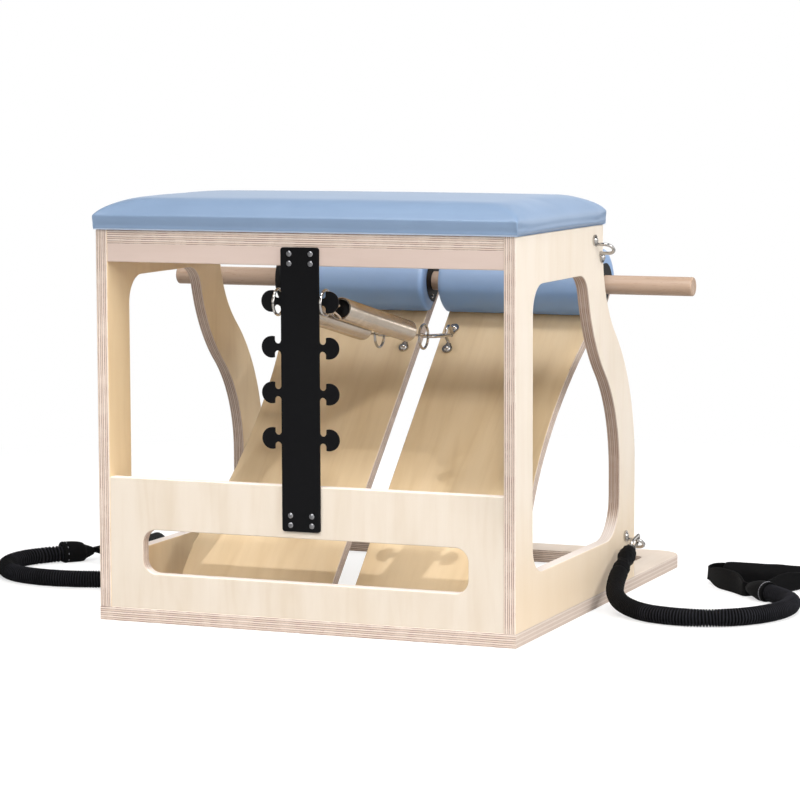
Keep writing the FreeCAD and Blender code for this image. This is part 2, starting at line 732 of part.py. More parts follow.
def pad_parts():
    """Pad, core, end caps and cap screws in the pedal's flat position."""
    reach = Vector(OVERALL_WIDTH, 0, 0)
    axis = Vector(0, PAD_CENTRE, dowel_height)
    bore = rod(axis - reach, axis + reach, DOWEL_RADIUS + DOWEL_CLEARANCE)
    core = box(pedal_inner + CORE_INSET, pedal_outer - CORE_INSET, PAD_CENTRE - CORE_WIDTH / 2,
               PAD_CENTRE + CORE_WIDTH / 2, board_face, board_face + CORE_HEIGHT)
    pad = pad_outer().cut(core)
    above = box(pedal_inner - OVERALL_WIDTH, pedal_outer + OVERALL_WIDTH, PAD_CENTRE - 2 * CAP_RADIUS,
                PAD_CENTRE + 2 * CAP_RADIUS, board_face + CAP_ABOVE_BOARD, board_face + 4 * CAP_RADIUS)
    caps = []
    screws = []
    holes = [bore]
    for face, outward in ((pedal_inner, -1), (pedal_outer, 1)):
        normal = Vector(outward, 0, 0)
        start = Vector(face, PAD_CENTRE, dowel_height)
        caps.append(Part.makeCylinder(CAP_RADIUS, CAP_THICK, start, normal).common(above))
        for angle in CAP_SCREW_ANGLES:
            turn = math.radians(angle)
            spot = start + normal * CAP_THICK
            spot += Vector(0, CAP_SCREW_CIRCLE * math.cos(turn), CAP_SCREW_CIRCLE * math.sin(turn))
            place = standing(spot, axis_y, normal)
            screws.append(placed(screw(CAP_SCREW_HEAD, CAP_SCREW_HEAD_HEIGHT, CAP_SCREW_SHANK,
                                       CAP_SCREW_LENGTH, True), place))
            holes.append(screw_hole(CAP_SCREW_SHANK, CAP_SCREW_LENGTH, place))
    caps = [cap.cut(holes) for cap in caps]
    return pad.cut(holes), core.cut(holes), group(caps), group(screws)


def eye_strap():
    """Eye strap standing on the plane z = 0, its feet along X, with the screw places."""
    half = EYE_PITCH / 2
    pieces = []
    for side in (-1, 1):
        foot = Part.makeCylinder(EYE_FOOT_RADIUS, EYE_FOOT_THICK, Vector(side * half, 0, 0))
        bridge_x = sorted((side * EYE_BOW_RADIUS, side * half))
        bridge = box(bridge_x[0], bridge_x[1], -EYE_FOOT_RADIUS / 2, EYE_FOOT_RADIUS / 2, 0, EYE_FOOT_THICK)
        pieces += [foot, bridge]
    low = [Vector(side * EYE_BOW_RADIUS, 0, 0) for side in (-1, 1)]
    high = [Vector(side * EYE_BOW_RADIUS, 0, EYE_LEG) for side in (-1, 1)]
    path = [
        Part.makeLine(low[0], high[0]),
        arc(high[0], Vector(0, 0, EYE_LEG + EYE_BOW_RADIUS), high[1]),
        Part.makeLine(high[1], low[1]),
    ]
    pieces.append(tube(path, EYE_WIRE_RADIUS))
    solid = join(pieces)
    places = []
    for side in (-1, 1):
        places.append(Placement(Vector(side * half, 0, EYE_FOOT_THICK), Rotation()))
    for place in places:
        solid = solid.cut(screw_hole(EYE_SCREW_SHANK, EYE_SCREW_LENGTH, place))
    return solid, places


def snap_hook(length, half_width, gate_length):
    """Snap hook lying in the plane z = 0 from its link end at the origin along X, and its gate."""
    nose = length - half_width
    gate_end = nose - 1
    gate_start = gate_end - gate_length
    rod_radius = SNAP_ROD / 2
    gate_radius = SNAP_GATE_ROD / 2
    hinge_end = Vector(gate_start - gate_radius - SNAP_GATE_GAP, half_width, 0)
    path = [
        Part.makeLine(hinge_end, Vector(half_width, half_width, 0)),
        arc(Vector(half_width, half_width, 0), Vector(0, 0, 0), Vector(half_width, -half_width, 0)),
        Part.makeLine(Vector(half_width, -half_width, 0), Vector(nose, -half_width, 0)),
        arc(Vector(nose, -half_width, 0), Vector(length, 0, 0), Vector(nose, half_width, 0)),
        Part.makeLine(Vector(nose, half_width, 0), Vector(gate_end + SNAP_GATE_GAP, half_width, 0)),
    ]
    body = tube(path, rod_radius)
    pivot = Vector(gate_start, half_width, 0)
    gate = join([
        Part.makeSphere(gate_radius, pivot),
        rod(pivot, Vector(gate_end, half_width, 0), gate_radius),
    ])
    return body, gate, pivot


def biarc(start, start_heading, end, end_heading):
    """Two arcs that join two points with given headings."""
    chord = end - start
    both = start_heading + end_heading
    spread = 2 * (1 - start_heading.dot(end_heading))
    along = chord.dot(both)
    reach = (-along + math.sqrt(along ** 2 + spread * chord.dot(chord))) / spread
    meet = (start + end + (start_heading - end_heading) * reach) * 0.5
    first = circle_through(start, start_heading, meet)
    middle_heading = (end - end_heading * reach) - meet
    second = circle_through(meet, middle_heading.normalize(), end)
    return [first, second]


def spring_end(length, pitch, reach):
    """Points and headings from the last turn round the end loop, outwards."""
    loop = length + reach
    climb = pitch / (2 * math.pi * SPRING_RADIUS)
    tail = -math.radians(SPRING_TAIL_ANGLE)
    stations = [
        (Vector(0, SPRING_RADIUS, length + pitch / 4), Vector(-1, 0, climb).normalize()),
        (Vector(-SPRING_LOOP_RADIUS, 0, loop), Vector(0, 0, 1)),
    ]
    for angle in (math.pi / 2, 0, tail):
        point = Vector(SPRING_LOOP_RADIUS * math.cos(angle), 0, loop + SPRING_LOOP_RADIUS * math.sin(angle))
        stations.append((point, Vector(math.sin(angle), 0, -math.cos(angle))))
    return stations


def spring(length):
    """Close-wound spring along Z with a loop at each end, as one tube."""
    pitch = length / SPRING_TURNS
    climb = pitch / (2 * math.pi * SPRING_RADIUS)
    stations = []
    for i in range(2 * SPRING_TURNS + 1):
        angle = i * math.pi
        point = Vector(SPRING_RADIUS * math.cos(angle), SPRING_RADIUS * math.sin(angle), i * pitch / 2)
        stations.append((point, Vector(-math.sin(angle), math.cos(angle), climb).normalize()))
    upper = []
    for point, heading in spring_end(length, pitch, SPRING_UPPER_REACH):
        turned = Vector(point.x, -point.y, length - point.z)
        upper.append((turned, Vector(-heading.x, heading.y, heading.z)))
    upper.reverse()
    stations = upper + stations + spring_end(length, pitch, SPRING_LOWER_REACH)
    first_point, first_heading = stations[0]
    last_point, last_heading = stations[-1]
    edges = [Part.makeLine(first_point - first_heading * SPRING_WIRE, first_point)]
    for (p, p_heading), (q, q_heading) in zip(stations, stations[1:]):
        edges += biarc(p, p_heading, q, q_heading)
    edges.append(Part.makeLine(last_point, last_point + last_heading * SPRING_WIRE))
    report_self_gap(edges)
    return tube(edges, SPRING_WIRE / 2)


def report_self_gap(edges):
    """Print the least gap of a wound wire to itself, measured on points."""
    points = []
    run = 0.0
    for edge in edges:
        count = max(3, int(edge.Length / 2))
        for i in range(count):
            share = edge.FirstParameter + (edge.LastParameter - edge.FirstParameter) * i / count
            points.append((run + edge.Length * i / count, edge.valueAt(share)))
        run += edge.Length
    least = run
    for i, (start, p) in enumerate(points):
        for end, q in points[i + 1:i + 200]:
            if end - start > 4 * SPRING_WIRE:
                least = min(least, (p - q).Length)
    print("spring wire", round(run), "mm, least gap to itself", round(least - SPRING_WIRE, 2), "mm")


def laid_route(route, side, eye_depth):
    """Points of a cord route beside the right (1) or left (-1) panel."""
    return [Vector(side * (half_width + out), eye_depth + ahead, height) for out, ahead, height in route]


def cord_tube(points, diameter):
    """Cord along straight runs joined by tangent arcs."""
    edges = []
    radii = []
    last = points[0]
    for before, corner, after in zip(points, points[1:], points[2:]):
        back = (before - corner)
        ahead = (after - corner)
        reach = CORD_ARC_SHARE * min(back.Length, ahead.Length)
        back.normalize()
        ahead.normalize()
        half_turn = (math.pi - back.getAngle(ahead)) / 2
        radius = reach / math.tan(half_turn)
        radii.append(round(radius))
        inwards = (back + ahead).normalize()
        start = corner + back * reach
        end = corner + ahead * reach
        middle = corner + inwards * (radius / math.cos(half_turn) - radius)
        edges += [Part.makeLine(last, start), arc(start, middle, end)]
        last = end
    edges.append(Part.makeLine(last, points[-1]))
    solid = tube(edges, diameter / 2)
    length = sum(edge.Length for edge in edges)
    swept = math.pi * diameter ** 2 / 4 * length
    print("cord", round(length), "mm, radii", radii, "volume ratio", round(solid.Volume / swept, 4))
    return solid


def cuff_solid(profile, place):
    """Solid of revolution about Z from (radius, height) points, moved to a place."""
    points = [Vector(0, 0, profile[0][1])]
    points += [Vector(radius, 0, height) for radius, height in profile]
    points.append(Vector(0, 0, profile[-1][1]))
    edges = [Part.makeLine(points[i], points[(i + 1) % len(points)]) for i in range(len(points))]
    solid = Part.Face(Part.Wire(edges)).revolve(Vector(0, 0, 0), axis_z, 360)
    return placed(solid, place)


def cord_end(route, side, eye_place):
    """Knotted cuff, snap hook and gate between a cord's start and the lower side eye."""
    start = route[0]
    back = (start - route[1]).normalize()
    length = CORD_CUFF_LENGTH
    profile = [
        (CORD_CUFF_RADIUS, 0),
        (CORD_CUFF_SWELL, CORD_CUFF_FIRST_KNOT),
        (CORD_CUFF_RADIUS, CORD_CUFF_WAIST),
        (CORD_CUFF_SWELL, CORD_CUFF_SECOND_KNOT),
        (CORD_CUFF_NECK, length),
    ]
    turn = math.radians(CORD_EYE_PULL_ANGLE)
    pull = Vector(-EYE_BOW_RADIUS * math.cos(turn), 0, EYE_LEG + EYE_BOW_RADIUS * math.sin(turn))
    held = eye_place.multVec(pull)
    wire = eye_place.Rotation.multVec(Vector(math.sin(turn), 0, math.cos(turn)))
    tip = start + back * (length + CUFF_BAIL_LEG + CUFF_BAIL_RADIUS)
    line = held - tip
    reach = line.Length
    line.normalize()
    flat = line.cross(wire).normalize()
    across = flat.cross(line)
    cuff = cuff_solid(profile, standing(start, flat, back))
    leg = length + CUFF_BAIL_LEG
    knee = [Vector(0, side_y, leg) for side_y in (-CUFF_BAIL_RADIUS, CUFF_BAIL_RADIUS)]
    root = [Vector(0, side_y, length - 1) for side_y in (-CUFF_BAIL_RADIUS, CUFF_BAIL_RADIUS)]
    bail = tube([
        Part.makeLine(root[0], knee[0]),
        arc(knee[0], Vector(0, 0, leg + CUFF_BAIL_RADIUS), knee[1]),
        Part.makeLine(knee[1], root[1]),
    ], CUFF_BAIL_WIRE / 2)
    along = (across - back * across.dot(back)).normalize()
    bail = placed(bail, standing(start, back.cross(along).negative(), back))
    cuff = join([cuff, bail])
    link = SNAP_ROD / 2 + CUFF_BAIL_WIRE / 2 + LINK_GAP
    grip = SNAP_ROD / 2 + EYE_WIRE_RADIUS + LINK_GAP
    hook, gate, pivot = snap_hook(reach + link + grip, CORD_SNAP_HALF_WIDTH, CORD_SNAP_GATE_LENGTH)
    place = Placement(tip - line * link, Rotation(line, flat, line.cross(flat), "XZY"))
    print("cord hook length", round(reach + link + grip, 1), "side", side)
    return cuff, placed(hook, place), placed(gate, place), place, pivot


def handle_parts(route, turn):
    """Tapered cuff, webbing loop and padded grip at a cord's far end, turned from the cord's heading."""
    end = route[-1]
    ahead = (end - route[-2]).normalize()
    cuff = cuff_solid([
        (HANDLE_CUFF_RADIUS, 0),
        (HANDLE_CUFF_RADIUS, HANDLE_CUFF_STRAIGHT),
        (HANDLE_CUFF_TIP, HANDLE_CUFF_LENGTH),
    ], standing(end, ahead.cross(axis_z).normalize(), ahead))
    level = Rotation(axis_z, turn).multVec(Vector(ahead.x, ahead.y, 0).normalize())
    side = axis_z.cross(level)
    half_angle = math.atan2(STRAP_HALF_SPREAD, STRAP_REACH)
    bend_centre = end + ahead * (HANDLE_CUFF_LENGTH + LINK_GAP + STRAP_TIP_CORNER + STRAP_THICK / 2)
    tip = bend_centre - level * (STRAP_TIP_CORNER / math.sin(half_angle))
    low = FLOOR_CLEARANCE
    tip.z = low + STRAP_WIDTH / 2

    def spot(along, across):
        return tip + level * along + side * across

    corners = [
        spot(STRAP_REACH, -GRIP_HALF_LENGTH - LINK_GAP),
        spot(STRAP_REACH, -STRAP_HALF_SPREAD),
        spot(0, 0),
        spot(STRAP_REACH, STRAP_HALF_SPREAD),
        spot(STRAP_REACH, GRIP_HALF_LENGTH + LINK_GAP),
    ]
    edges = []
    last = corners[0]
    radii = (STRAP_GRIP_CORNER, STRAP_TIP_CORNER, STRAP_GRIP_CORNER)
    for before, corner, after, radius in zip(corners, corners[1:], corners[2:], radii):
        back = (before - corner).normalize()
        forward = (after - corner).normalize()
        half_turn = (math.pi - back.getAngle(forward)) / 2
        reach = radius * math.tan(half_turn)
        inwards = (back + forward).normalize()
        middle = corner + inwards * (radius / math.cos(half_turn) - radius)
        start = corner + back * reach
        edges += [Part.makeLine(last, start), arc(start, middle, corner + forward * reach)]
        last = corner + forward * reach
    edges.append(Part.makeLine(last, corners[-1]))
    thick = level * (STRAP_THICK / 2)
    high = axis_z * (STRAP_WIDTH / 2)
    rim = [
        corners[0] - thick - high,
        corners[0] + thick - high,
        corners[0] + thick + high,
        corners[0] - thick + high,
    ]
    section = Part.makePolygon(rim + [rim[0]])
    strap = Part.Wire(edges).makePipeShell([section], True, False)
    middle = spot(STRAP_REACH, 0)
    middle.z = low + GRIP_RADIUS
    ends = [Vector(GRIP_END_RADIUS, 0, z) for z in (-GRIP_HALF_LENGTH, GRIP_HALF_LENGTH)]
    caps = [Vector(0, 0, z) for z in (-GRIP_HALF_LENGTH, GRIP_HALF_LENGTH)]
    section = Part.Wire([
        Part.makeLine(caps[0], ends[0]),
        arc(ends[0], Vector(GRIP_RADIUS, 0, 0), ends[1]),
        Part.makeLine(ends[1], caps[1]),
        Part.makeLine(caps[1], caps[0]),
    ])
    grip = Part.Face(section).revolve(Vector(0, 0, 0), axis_z, 360)
    return cuff, strap, placed(grip, standing(middle, level, side))


# Chain of the right spring: plate hook, upper ring, coil, lower ring, snap hook, pedal eye
pull_turn = math.radians(EYE_PULL_ANGLE)
eye_base = Vector(SPRING_OFFSET, PEDAL_EYE_CENTRE, board_face)
pull_back = EYE_BOW_RADIUS * math.cos(pull_turn)
pull_rise = EYE_LEG + EYE_BOW_RADIUS * math.sin(pull_turn)
hook_hold = pedal_place.multVec(eye_base + Vector(0, -pull_back, pull_rise))
neck_point = Vector(SPRING_OFFSET, REAR_REVEAL - PLATE_THICK, plate_top - HOOK_TOP_DROP)
to_eye = hook_hold - neck_point
slope = math.atan2(-to_eye.z, to_eye.y) + math.radians(SPRING_SAG)
spring_line = Vector(0, math.cos(slope), -math.sin(slope))
snap_link = SNAP_ROD / 2 + RING_WIRE / 2 + LINK_GAP
snap_grip = SNAP_ROD / 2 + EYE_WIRE_RADIUS + LINK_GAP
ring_to_eye = RING_RADIUS + SNAP_LENGTH - snap_link - snap_grip
ahead_of_neck = to_eye.dot(spring_line)
off_line = math.sqrt(to_eye.dot(to_eye) - ahead_of_neck ** 2)
lower_ring_run = ahead_of_neck - math.sqrt(ring_to_eye ** 2 - off_line ** 2)
lower_ring_centre = neck_point + spring_line * lower_ring_run
snap_line = (hook_hold - lower_ring_centre).normalize()
upper_ring_run = RING_RADIUS - RING_WIRE / 2 - RING_SLACK
upper_ring_centre = neck_point + spring_line * upper_ring_run
loop_hold = SPRING_LOOP_RADIUS - SPRING_WIRE / 2 - RING_WIRE / 2 - LINK_GAP
coil_start_run = upper_ring_run + RING_RADIUS + loop_hold + SPRING_UPPER_REACH
coil_end_run = lower_ring_run - RING_RADIUS - loop_hold - SPRING_LOWER_REACH
coil_length = coil_end_run - coil_start_run


def main():
    os.makedirs("parts", exist_ok=True)

    # Frame boards, pins and the holes in them
    pins = frame_pins(0, 0)
    pin_holes = frame_pins(PIN_CLEARANCE, PIN_END_SPACE)
    cushion, cushion_board, cushion_places = cushion_parts()
    cushion_holes = [
        screw_hole(CUSHION_SCREW_SHANK, CUSHION_SCREW_LENGTH, place)
        for place in cushion_places
    ]
    plate, plate_places = spring_plate()
    plate_holes = [screw_hole(PLATE_SCREW_SHANK, PLATE_SCREW_LENGTH, place) for place in plate_places]

    # Side eyes: one pair on each outer face, upper by the seat and lower by the foot
    eye, eye_places = eye_strap()
    eye_screw = screw(EYE_SCREW_HEAD, EYE_SCREW_HEAD_HEIGHT, EYE_SCREW_SHANK, EYE_SCREW_LENGTH, False)
    tilt = math.radians(SIDE_EYE_TILT)
    eye_line = Vector(0, math.cos(tilt), math.sin(tilt))
    upper_spot = Vector(half_width, PANEL_TOP_DEPTH - UPPER_EYE_BACK, PANEL_TOP - UPPER_EYE_DROP)
    lower_spot = Vector(half_width, PANEL_FOOT_DEPTH - LOWER_EYE_BACK, BASE_THICK + LOWER_EYE_RISE)
    side_eyes = []
    side_eye_screws = []
    side_eye_holes = []
    for spot in (upper_spot, lower_spot):
        place = standing(spot, eye_line, axis_x)
        side_eyes.append(placed(eye, place))
        for screw_place in eye_places:
            seat = place.multiply(screw_place)
            side_eye_screws.append(placed(eye_screw, seat))
            side_eye_holes.append(screw_hole(EYE_SCREW_SHANK, EYE_SCREW_LENGTH, seat))

    panel = side_panel().cut(pin_holes + side_eye_holes)
    save("right_side_panel", panel)
    save("left_side_panel", mirrored(panel))
    save("side_eyes", group(side_eyes + [mirrored(piece) for piece in side_eyes]))
    save("side_eye_screws", group(side_eye_screws + [mirrored(piece) for piece in side_eye_screws]))
    save("rear_lower_panel", lower_panel().cut(pin_holes + plate_holes))
    save("seat_board", seat_board().cut(pin_holes + cushion_holes))
    save("seat_rail", seat_rail().cut(pin_holes + plate_holes))
    save("frame_pins", group(pins))
    save("seat_cushion", cushion)
    save("cushion_board", cushion_board.cut(cushion_holes))
    cushion_screw = screw(CUSHION_SCREW_HEAD, CUSHION_SCREW_HEAD_HEIGHT, CUSHION_SCREW_SHANK,
                          CUSHION_SCREW_LENGTH, True)
    save("cushion_screws", group([placed(cushion_screw, place) for place in cushion_places]))
    plate_screw = screw(PLATE_SCREW_HEAD, PLATE_SCREW_HEAD_HEIGHT, PLATE_SCREW_SHANK,
                        PLATE_SCREW_LENGTH, True)
    save("spring_plate", plate.cut(plate_holes))
    save("plate_screws", group([placed(plate_screw, place) for place in plate_places]))

    # Hinges: base leaves lie flat behind the axis, pedal leaves turn with the pedals
    turned = Placement(hinge_point + Vector(2 * pedal_middle, 0, 0), Rotation(axis_z, 180))
    base_leaf = placed(hinge_leaf(0), turned)
    hinge_screw = screw(HINGE_SCREW_HEAD, HINGE_SCREW_HEAD_HEIGHT, HINGE_SCREW_SHANK,
                        HINGE_SCREW_LENGTH, True)
    leaf_places = leaf_screw_places()
    base_places = [turned.multiply(place) for place in leaf_places]
    base_holes = [screw_hole(HINGE_SCREW_SHANK, HINGE_SCREW_LENGTH, place) for place in base_places]
    base_screws = [placed(hinge_screw, place) for place in base_places]
    base_leaf = base_leaf.cut(base_holes)
    base_holes += [mirrored(hole) for hole in base_holes]
    save("base_board", base_board().cut(pin_holes + base_holes))
    save("hinge_base_leaves", group([base_leaf, mirrored(base_leaf)]))
    save("hinge_base_screws", group(base_screws + [mirrored(piece) for piece in base_screws]))
    half_pin = Vector(HINGE_LENGTH / 2, 0, 0)
    pin_middle = hinge_point + Vector(pedal_middle, 0, 0)
    pin = rod(pin_middle - half_pin, pin_middle + half_pin, HINGE_PIN_RADIUS)
    save("hinge_pins", group([pin, mirrored(pin)]))

    # Pedals in the flat position, then tilted to their rest angle
    leaf_holes = [screw_hole(HINGE_SCREW_SHANK, HINGE_SCREW_LENGTH, place) for place in leaf_places]
    eye_seat = standing(eye_base, axis_y, axis_z)
    eye_holes = []
    eye_screws = []
    for place in eye_places:
        eye_holes.append(screw_hole(EYE_SCREW_SHANK, EYE_SCREW_LENGTH, eye_seat.multiply(place)))
        eye_screws.append(placed(eye_screw, eye_seat.multiply(place)))
    pad, core, caps, cap_screws = pad_parts()
    pedal_pieces = {
        "pedal_board": pedal_board().cut(leaf_holes + eye_holes),
        "hinge_pedal_leaf": hinge_leaf(1).cut(leaf_holes),
        "hinge_pedal_screws": group([placed(hinge_screw, place) for place in leaf_places]),
        "pad": pad,
        "pad_core": core,
        "pad_caps": caps,
        "pad_cap_screws": cap_screws,
        "pedal_eye": placed(eye, eye_seat),
        "pedal_eye_screws": group(eye_screws),
    }
    for name, piece in pedal_pieces.items():
        tilted = placed(piece, pedal_place)
        save("right_" + name, tilted)
        save("left_" + name, mirrored(tilted))

    # Dowel through both pads
    dowel_axis = pedal_place.multVec(Vector(0, PAD_CENTRE, dowel_height))
    dowel = rod(dowel_axis + axis_x * dowel_left, dowel_axis + axis_x * dowel_right, DOWEL_RADIUS)
    ends = edges_on_level(dowel, axis_x, dowel_left) + edges_on_level(dowel, axis_x, dowel_right)
    save("dowel", dowel.makeFillet(DOWEL_CHAMFER, ends))

    # Springs, rings and snap hooks
    coil_start = neck_point + spring_line * coil_start_run
    coil = placed(spring(coil_length), standing(coil_start, axis_x, spring_line))
    upper_ring = Part.makeTorus(RING_RADIUS, RING_WIRE / 2, upper_ring_centre, axis_x)
    lower_ring = Part.makeTorus(RING_RADIUS, RING_WIRE / 2, lower_ring_centre, axis_x)
    hook, gate, pivot = snap_hook(SNAP_LENGTH, SNAP_HALF_WIDTH, SNAP_GATE_LENGTH)
    snap_start = lower_ring_centre + snap_line * (RING_RADIUS - snap_link)
    snap_place = Placement(snap_start, Rotation(snap_line, axis_x, snap_line.cross(axis_x), "XYZ"))
    chain = {
        "spring": coil,
        "upper_ring": upper_ring,
        "lower_ring": lower_ring,
        "spring_hook": placed(hook, snap_place),
        "spring_gate": placed(gate, snap_place),
    }
    for name, piece in chain.items():
        save("right_" + name, piece)
        save("left_" + name, mirrored(piece))

    # Cords with their end pieces
    right_place = standing(lower_spot, eye_line, axis_x)
    left_spot = Vector(-lower_spot.x, lower_spot.y, lower_spot.z)
    left_place = standing(left_spot, eye_line, axis_x.negative())
    right_route = laid_route(RIGHT_CORD_ROUTE, 1, lower_spot.y)
    left_route = laid_route(LEFT_CORD_ROUTE, -1, lower_spot.y)
    for name, route, eye_place, turn in (
        ("right", right_route, right_place, RIGHT_HANDLE_ANGLE),
        ("left", left_route, left_place, LEFT_HANDLE_ANGLE),
    ):
        save(name + "_cord", cord_tube(route, CORD_DIAMETER))
        cuff, hook, gate, place, pivot = cord_end(route, name, eye_place)
        save(name + "_cord_cuff", cuff)
        save(name + "_cord_hook", hook)
        save(name + "_cord_gate", gate)
        handle_cuff, strap, grip = handle_parts(route, turn)
        save(name + "_handle_cuff", handle_cuff)
        save(name + "_handle_strap", strap)
        save(name + "_handle_grip", grip)


main()
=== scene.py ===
import json
import math

import bpy
import numpy as np
from mathutils import Matrix, Vector


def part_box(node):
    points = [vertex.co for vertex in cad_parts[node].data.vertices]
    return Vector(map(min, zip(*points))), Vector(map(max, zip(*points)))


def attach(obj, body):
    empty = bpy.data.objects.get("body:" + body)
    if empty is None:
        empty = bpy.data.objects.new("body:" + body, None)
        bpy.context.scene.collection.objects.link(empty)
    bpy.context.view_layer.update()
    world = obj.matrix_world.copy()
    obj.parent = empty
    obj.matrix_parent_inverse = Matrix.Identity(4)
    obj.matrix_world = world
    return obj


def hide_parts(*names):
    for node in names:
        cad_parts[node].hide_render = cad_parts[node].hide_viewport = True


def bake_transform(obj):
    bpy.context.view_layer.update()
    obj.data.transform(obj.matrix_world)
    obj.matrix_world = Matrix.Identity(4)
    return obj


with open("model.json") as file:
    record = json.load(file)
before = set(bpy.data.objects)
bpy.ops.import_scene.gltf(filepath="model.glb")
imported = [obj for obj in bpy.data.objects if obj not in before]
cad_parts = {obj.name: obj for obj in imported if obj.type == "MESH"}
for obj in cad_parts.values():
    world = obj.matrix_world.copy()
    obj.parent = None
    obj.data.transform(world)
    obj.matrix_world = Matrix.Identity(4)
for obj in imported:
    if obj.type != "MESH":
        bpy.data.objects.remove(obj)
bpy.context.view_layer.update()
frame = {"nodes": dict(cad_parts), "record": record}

scene = bpy.context.scene
X_AXIS = Vector((1, 0, 0))
Y_AXIS = Vector((0, 1, 0))
Z_AXIS = Vector((0, 0, 1))
SIDES = {"right": 1, "left": -1}
TURN = 2 * math.pi
TINY = 1e-6
STEEP = 0.9

# Camera, in metres, degrees and millimetres of lens
CAMERA_PLACE = Vector((1.7455, -4.2973, 0.7846))
CAMERA_YAW = 22.24
CAMERA_PITCH = 6.06
CAMERA_ROLL = -0.19
CAMERA_LENS = 138.23
CAMERA_SENSOR = 36.0
CAMERA_REACH = 100

# Cords: routes outwards from the side panel, forward from the lower eye and up from the floor, in metres
LOWER_EYE_DEPTH = 0.103
CORD_SIDES = 32
CORD_RESOLUTION = 110
CORD_ROUTES = {
    "right": (
        (0.022, -0.108, 0.050), (0.024, -0.148, 0.032), (0.047, -0.190, 0.018), (0.090, -0.228, 0.013),
        (0.139, -0.248, 0.013), (0.187, -0.246, 0.013), (0.228, -0.226, 0.013), (0.258, -0.192, 0.013),
        (0.276, -0.150, 0.013), (0.281, -0.108, 0.013), (0.275, -0.066, 0.013), (0.250, -0.030, 0.013),
        (0.217, -0.002, 0.014),
    ),
    "left": (
        (0.022, -0.108, 0.050), (0.025, -0.164, 0.028), (0.057, -0.213, 0.014), (0.106, -0.244, 0.013),
        (0.160, -0.263, 0.013), (0.216, -0.269, 0.013), (0.271, -0.256, 0.013), (0.314, -0.222, 0.013),
        (0.339, -0.174, 0.013), (0.345, -0.124, 0.013), (0.331, -0.079, 0.013), (0.300, -0.046, 0.014),
    ),
}
FLOOR_TOUCH = 0.0004
CORD_SEED, HANDLE_CUFF_SEED, GRIP_SEED, CORD_CUFF_SEED = 11, 21, 31, 41

# Ruched sleeves of the cords: share of the length, rib pitch and rib depth
SLEEVE_RADIUS = 0.0134
SLEEVE_RIBS = {
    "right": (
        (0.00, 0.0036, 0.0005), (0.20, 0.0036, 0.0007), (0.32, 0.0043, 0.0032), (0.72, 0.0043, 0.0032),
        (1.00, 0.0046, 0.0024),
    ),
    "left": (
        (0.00, 0.0038, 0.0006), (0.14, 0.0040, 0.0027), (0.58, 0.0040, 0.0027), (0.72, 0.0042, 0.0014),
        (0.82, 0.0060, 0.0036), (1.00, 0.0062, 0.0038),
    ),
}
# Wobbles along a sleeve: waves and reach
PITCH_WOBBLE = ((31, 53, 97), 0.15)
DEPTH_WOBBLE = ((40, 77, 150), 0.3)
TWIST_WOBBLE = ((60, 110, 190), 1.0)
CREASE_WOBBLE = ((220, 410, 730), 2.2)
TWIST_LOBES = (1, 2, 3)
TWIST_REACH = 0.45
TWIST_DRIFT = 3
CREASE_LOBES = (5, 8, 11)
CREASE_DEPTH = 0.0001
RIB_SHARPNESS = 0.7
SLEEVE_MOUTH_DRAW = 0.13
SLEEVE_MOUTH_LENGTH = 0.004
CREST_BELOW_TOP = (0.0016, 0.0002)
CREST_RIB_DEPTH = (0.0003, 0.0010)
CREST_WINDOW = 41

# Handles: cuff, with its place along the cord's end, half width and half height
HANDLE_SIDES = 40
HANDLE_ANGLES = {"right": -50.0, "left": -17.0}
HANDLE_CUFF_LENGTH = 0.046
HANDLE_CUFF_PROFILE = (
    (-0.0050, 0.0134, 0.0134), (-0.0078, 0.0142, 0.0142), (-0.0085, 0.0154, 0.0152), (-0.0072, 0.0164, 0.0160),
    (-0.0050, 0.0166, 0.0161), (-0.0030, 0.0162, 0.0157), (-0.0018, 0.0158, 0.0153), (-0.0004, 0.0163, 0.0156),
    (0.0040, 0.0166, 0.0157), (0.0100, 0.0167, 0.0155), (0.0160, 0.0165, 0.0149), (0.0220, 0.0159, 0.0138),
    (0.0280, 0.0148, 0.0122), (0.0330, 0.0133, 0.0104), (0.0380, 0.0113, 0.0086), (0.0420, 0.0094, 0.0070),
    (0.0450, 0.0078, 0.0056), (0.0462, 0.0060, 0.0042),
)
HANDLE_CUFF_DETAIL = 5
CUFF_FULLNESS = {"right": 1.0, "left": 1.20}
CUFF_FULL_BETWEEN = (0.0134, 0.0154)
CUFF_FOLDS = ((3, 50), (5, 50), (7, 50))
CUFF_FOLD_DEPTH = 0.00035
CUFF_FOLD_START = (0.004, 0.022)

# Stitches of the cuff's hem: lift, half width and half length from the foot up
STITCH_PLACE = -0.0016
STITCH_RADIUS = 0.0159
STITCH_LOWEST = 0.003
STITCH_PHASE = 0.35
STITCH_COUNTS = {"right": 26, "left": 11}
STITCH_SECTIONS = ((-0.0006, 0.0005, 0.0015), (0.0002, 0.0005, 0.0013), (0.0004, 0.0002, 0.0008))
SQUARE = ((-1, -1), (1, -1), (1, 1), (-1, 1))

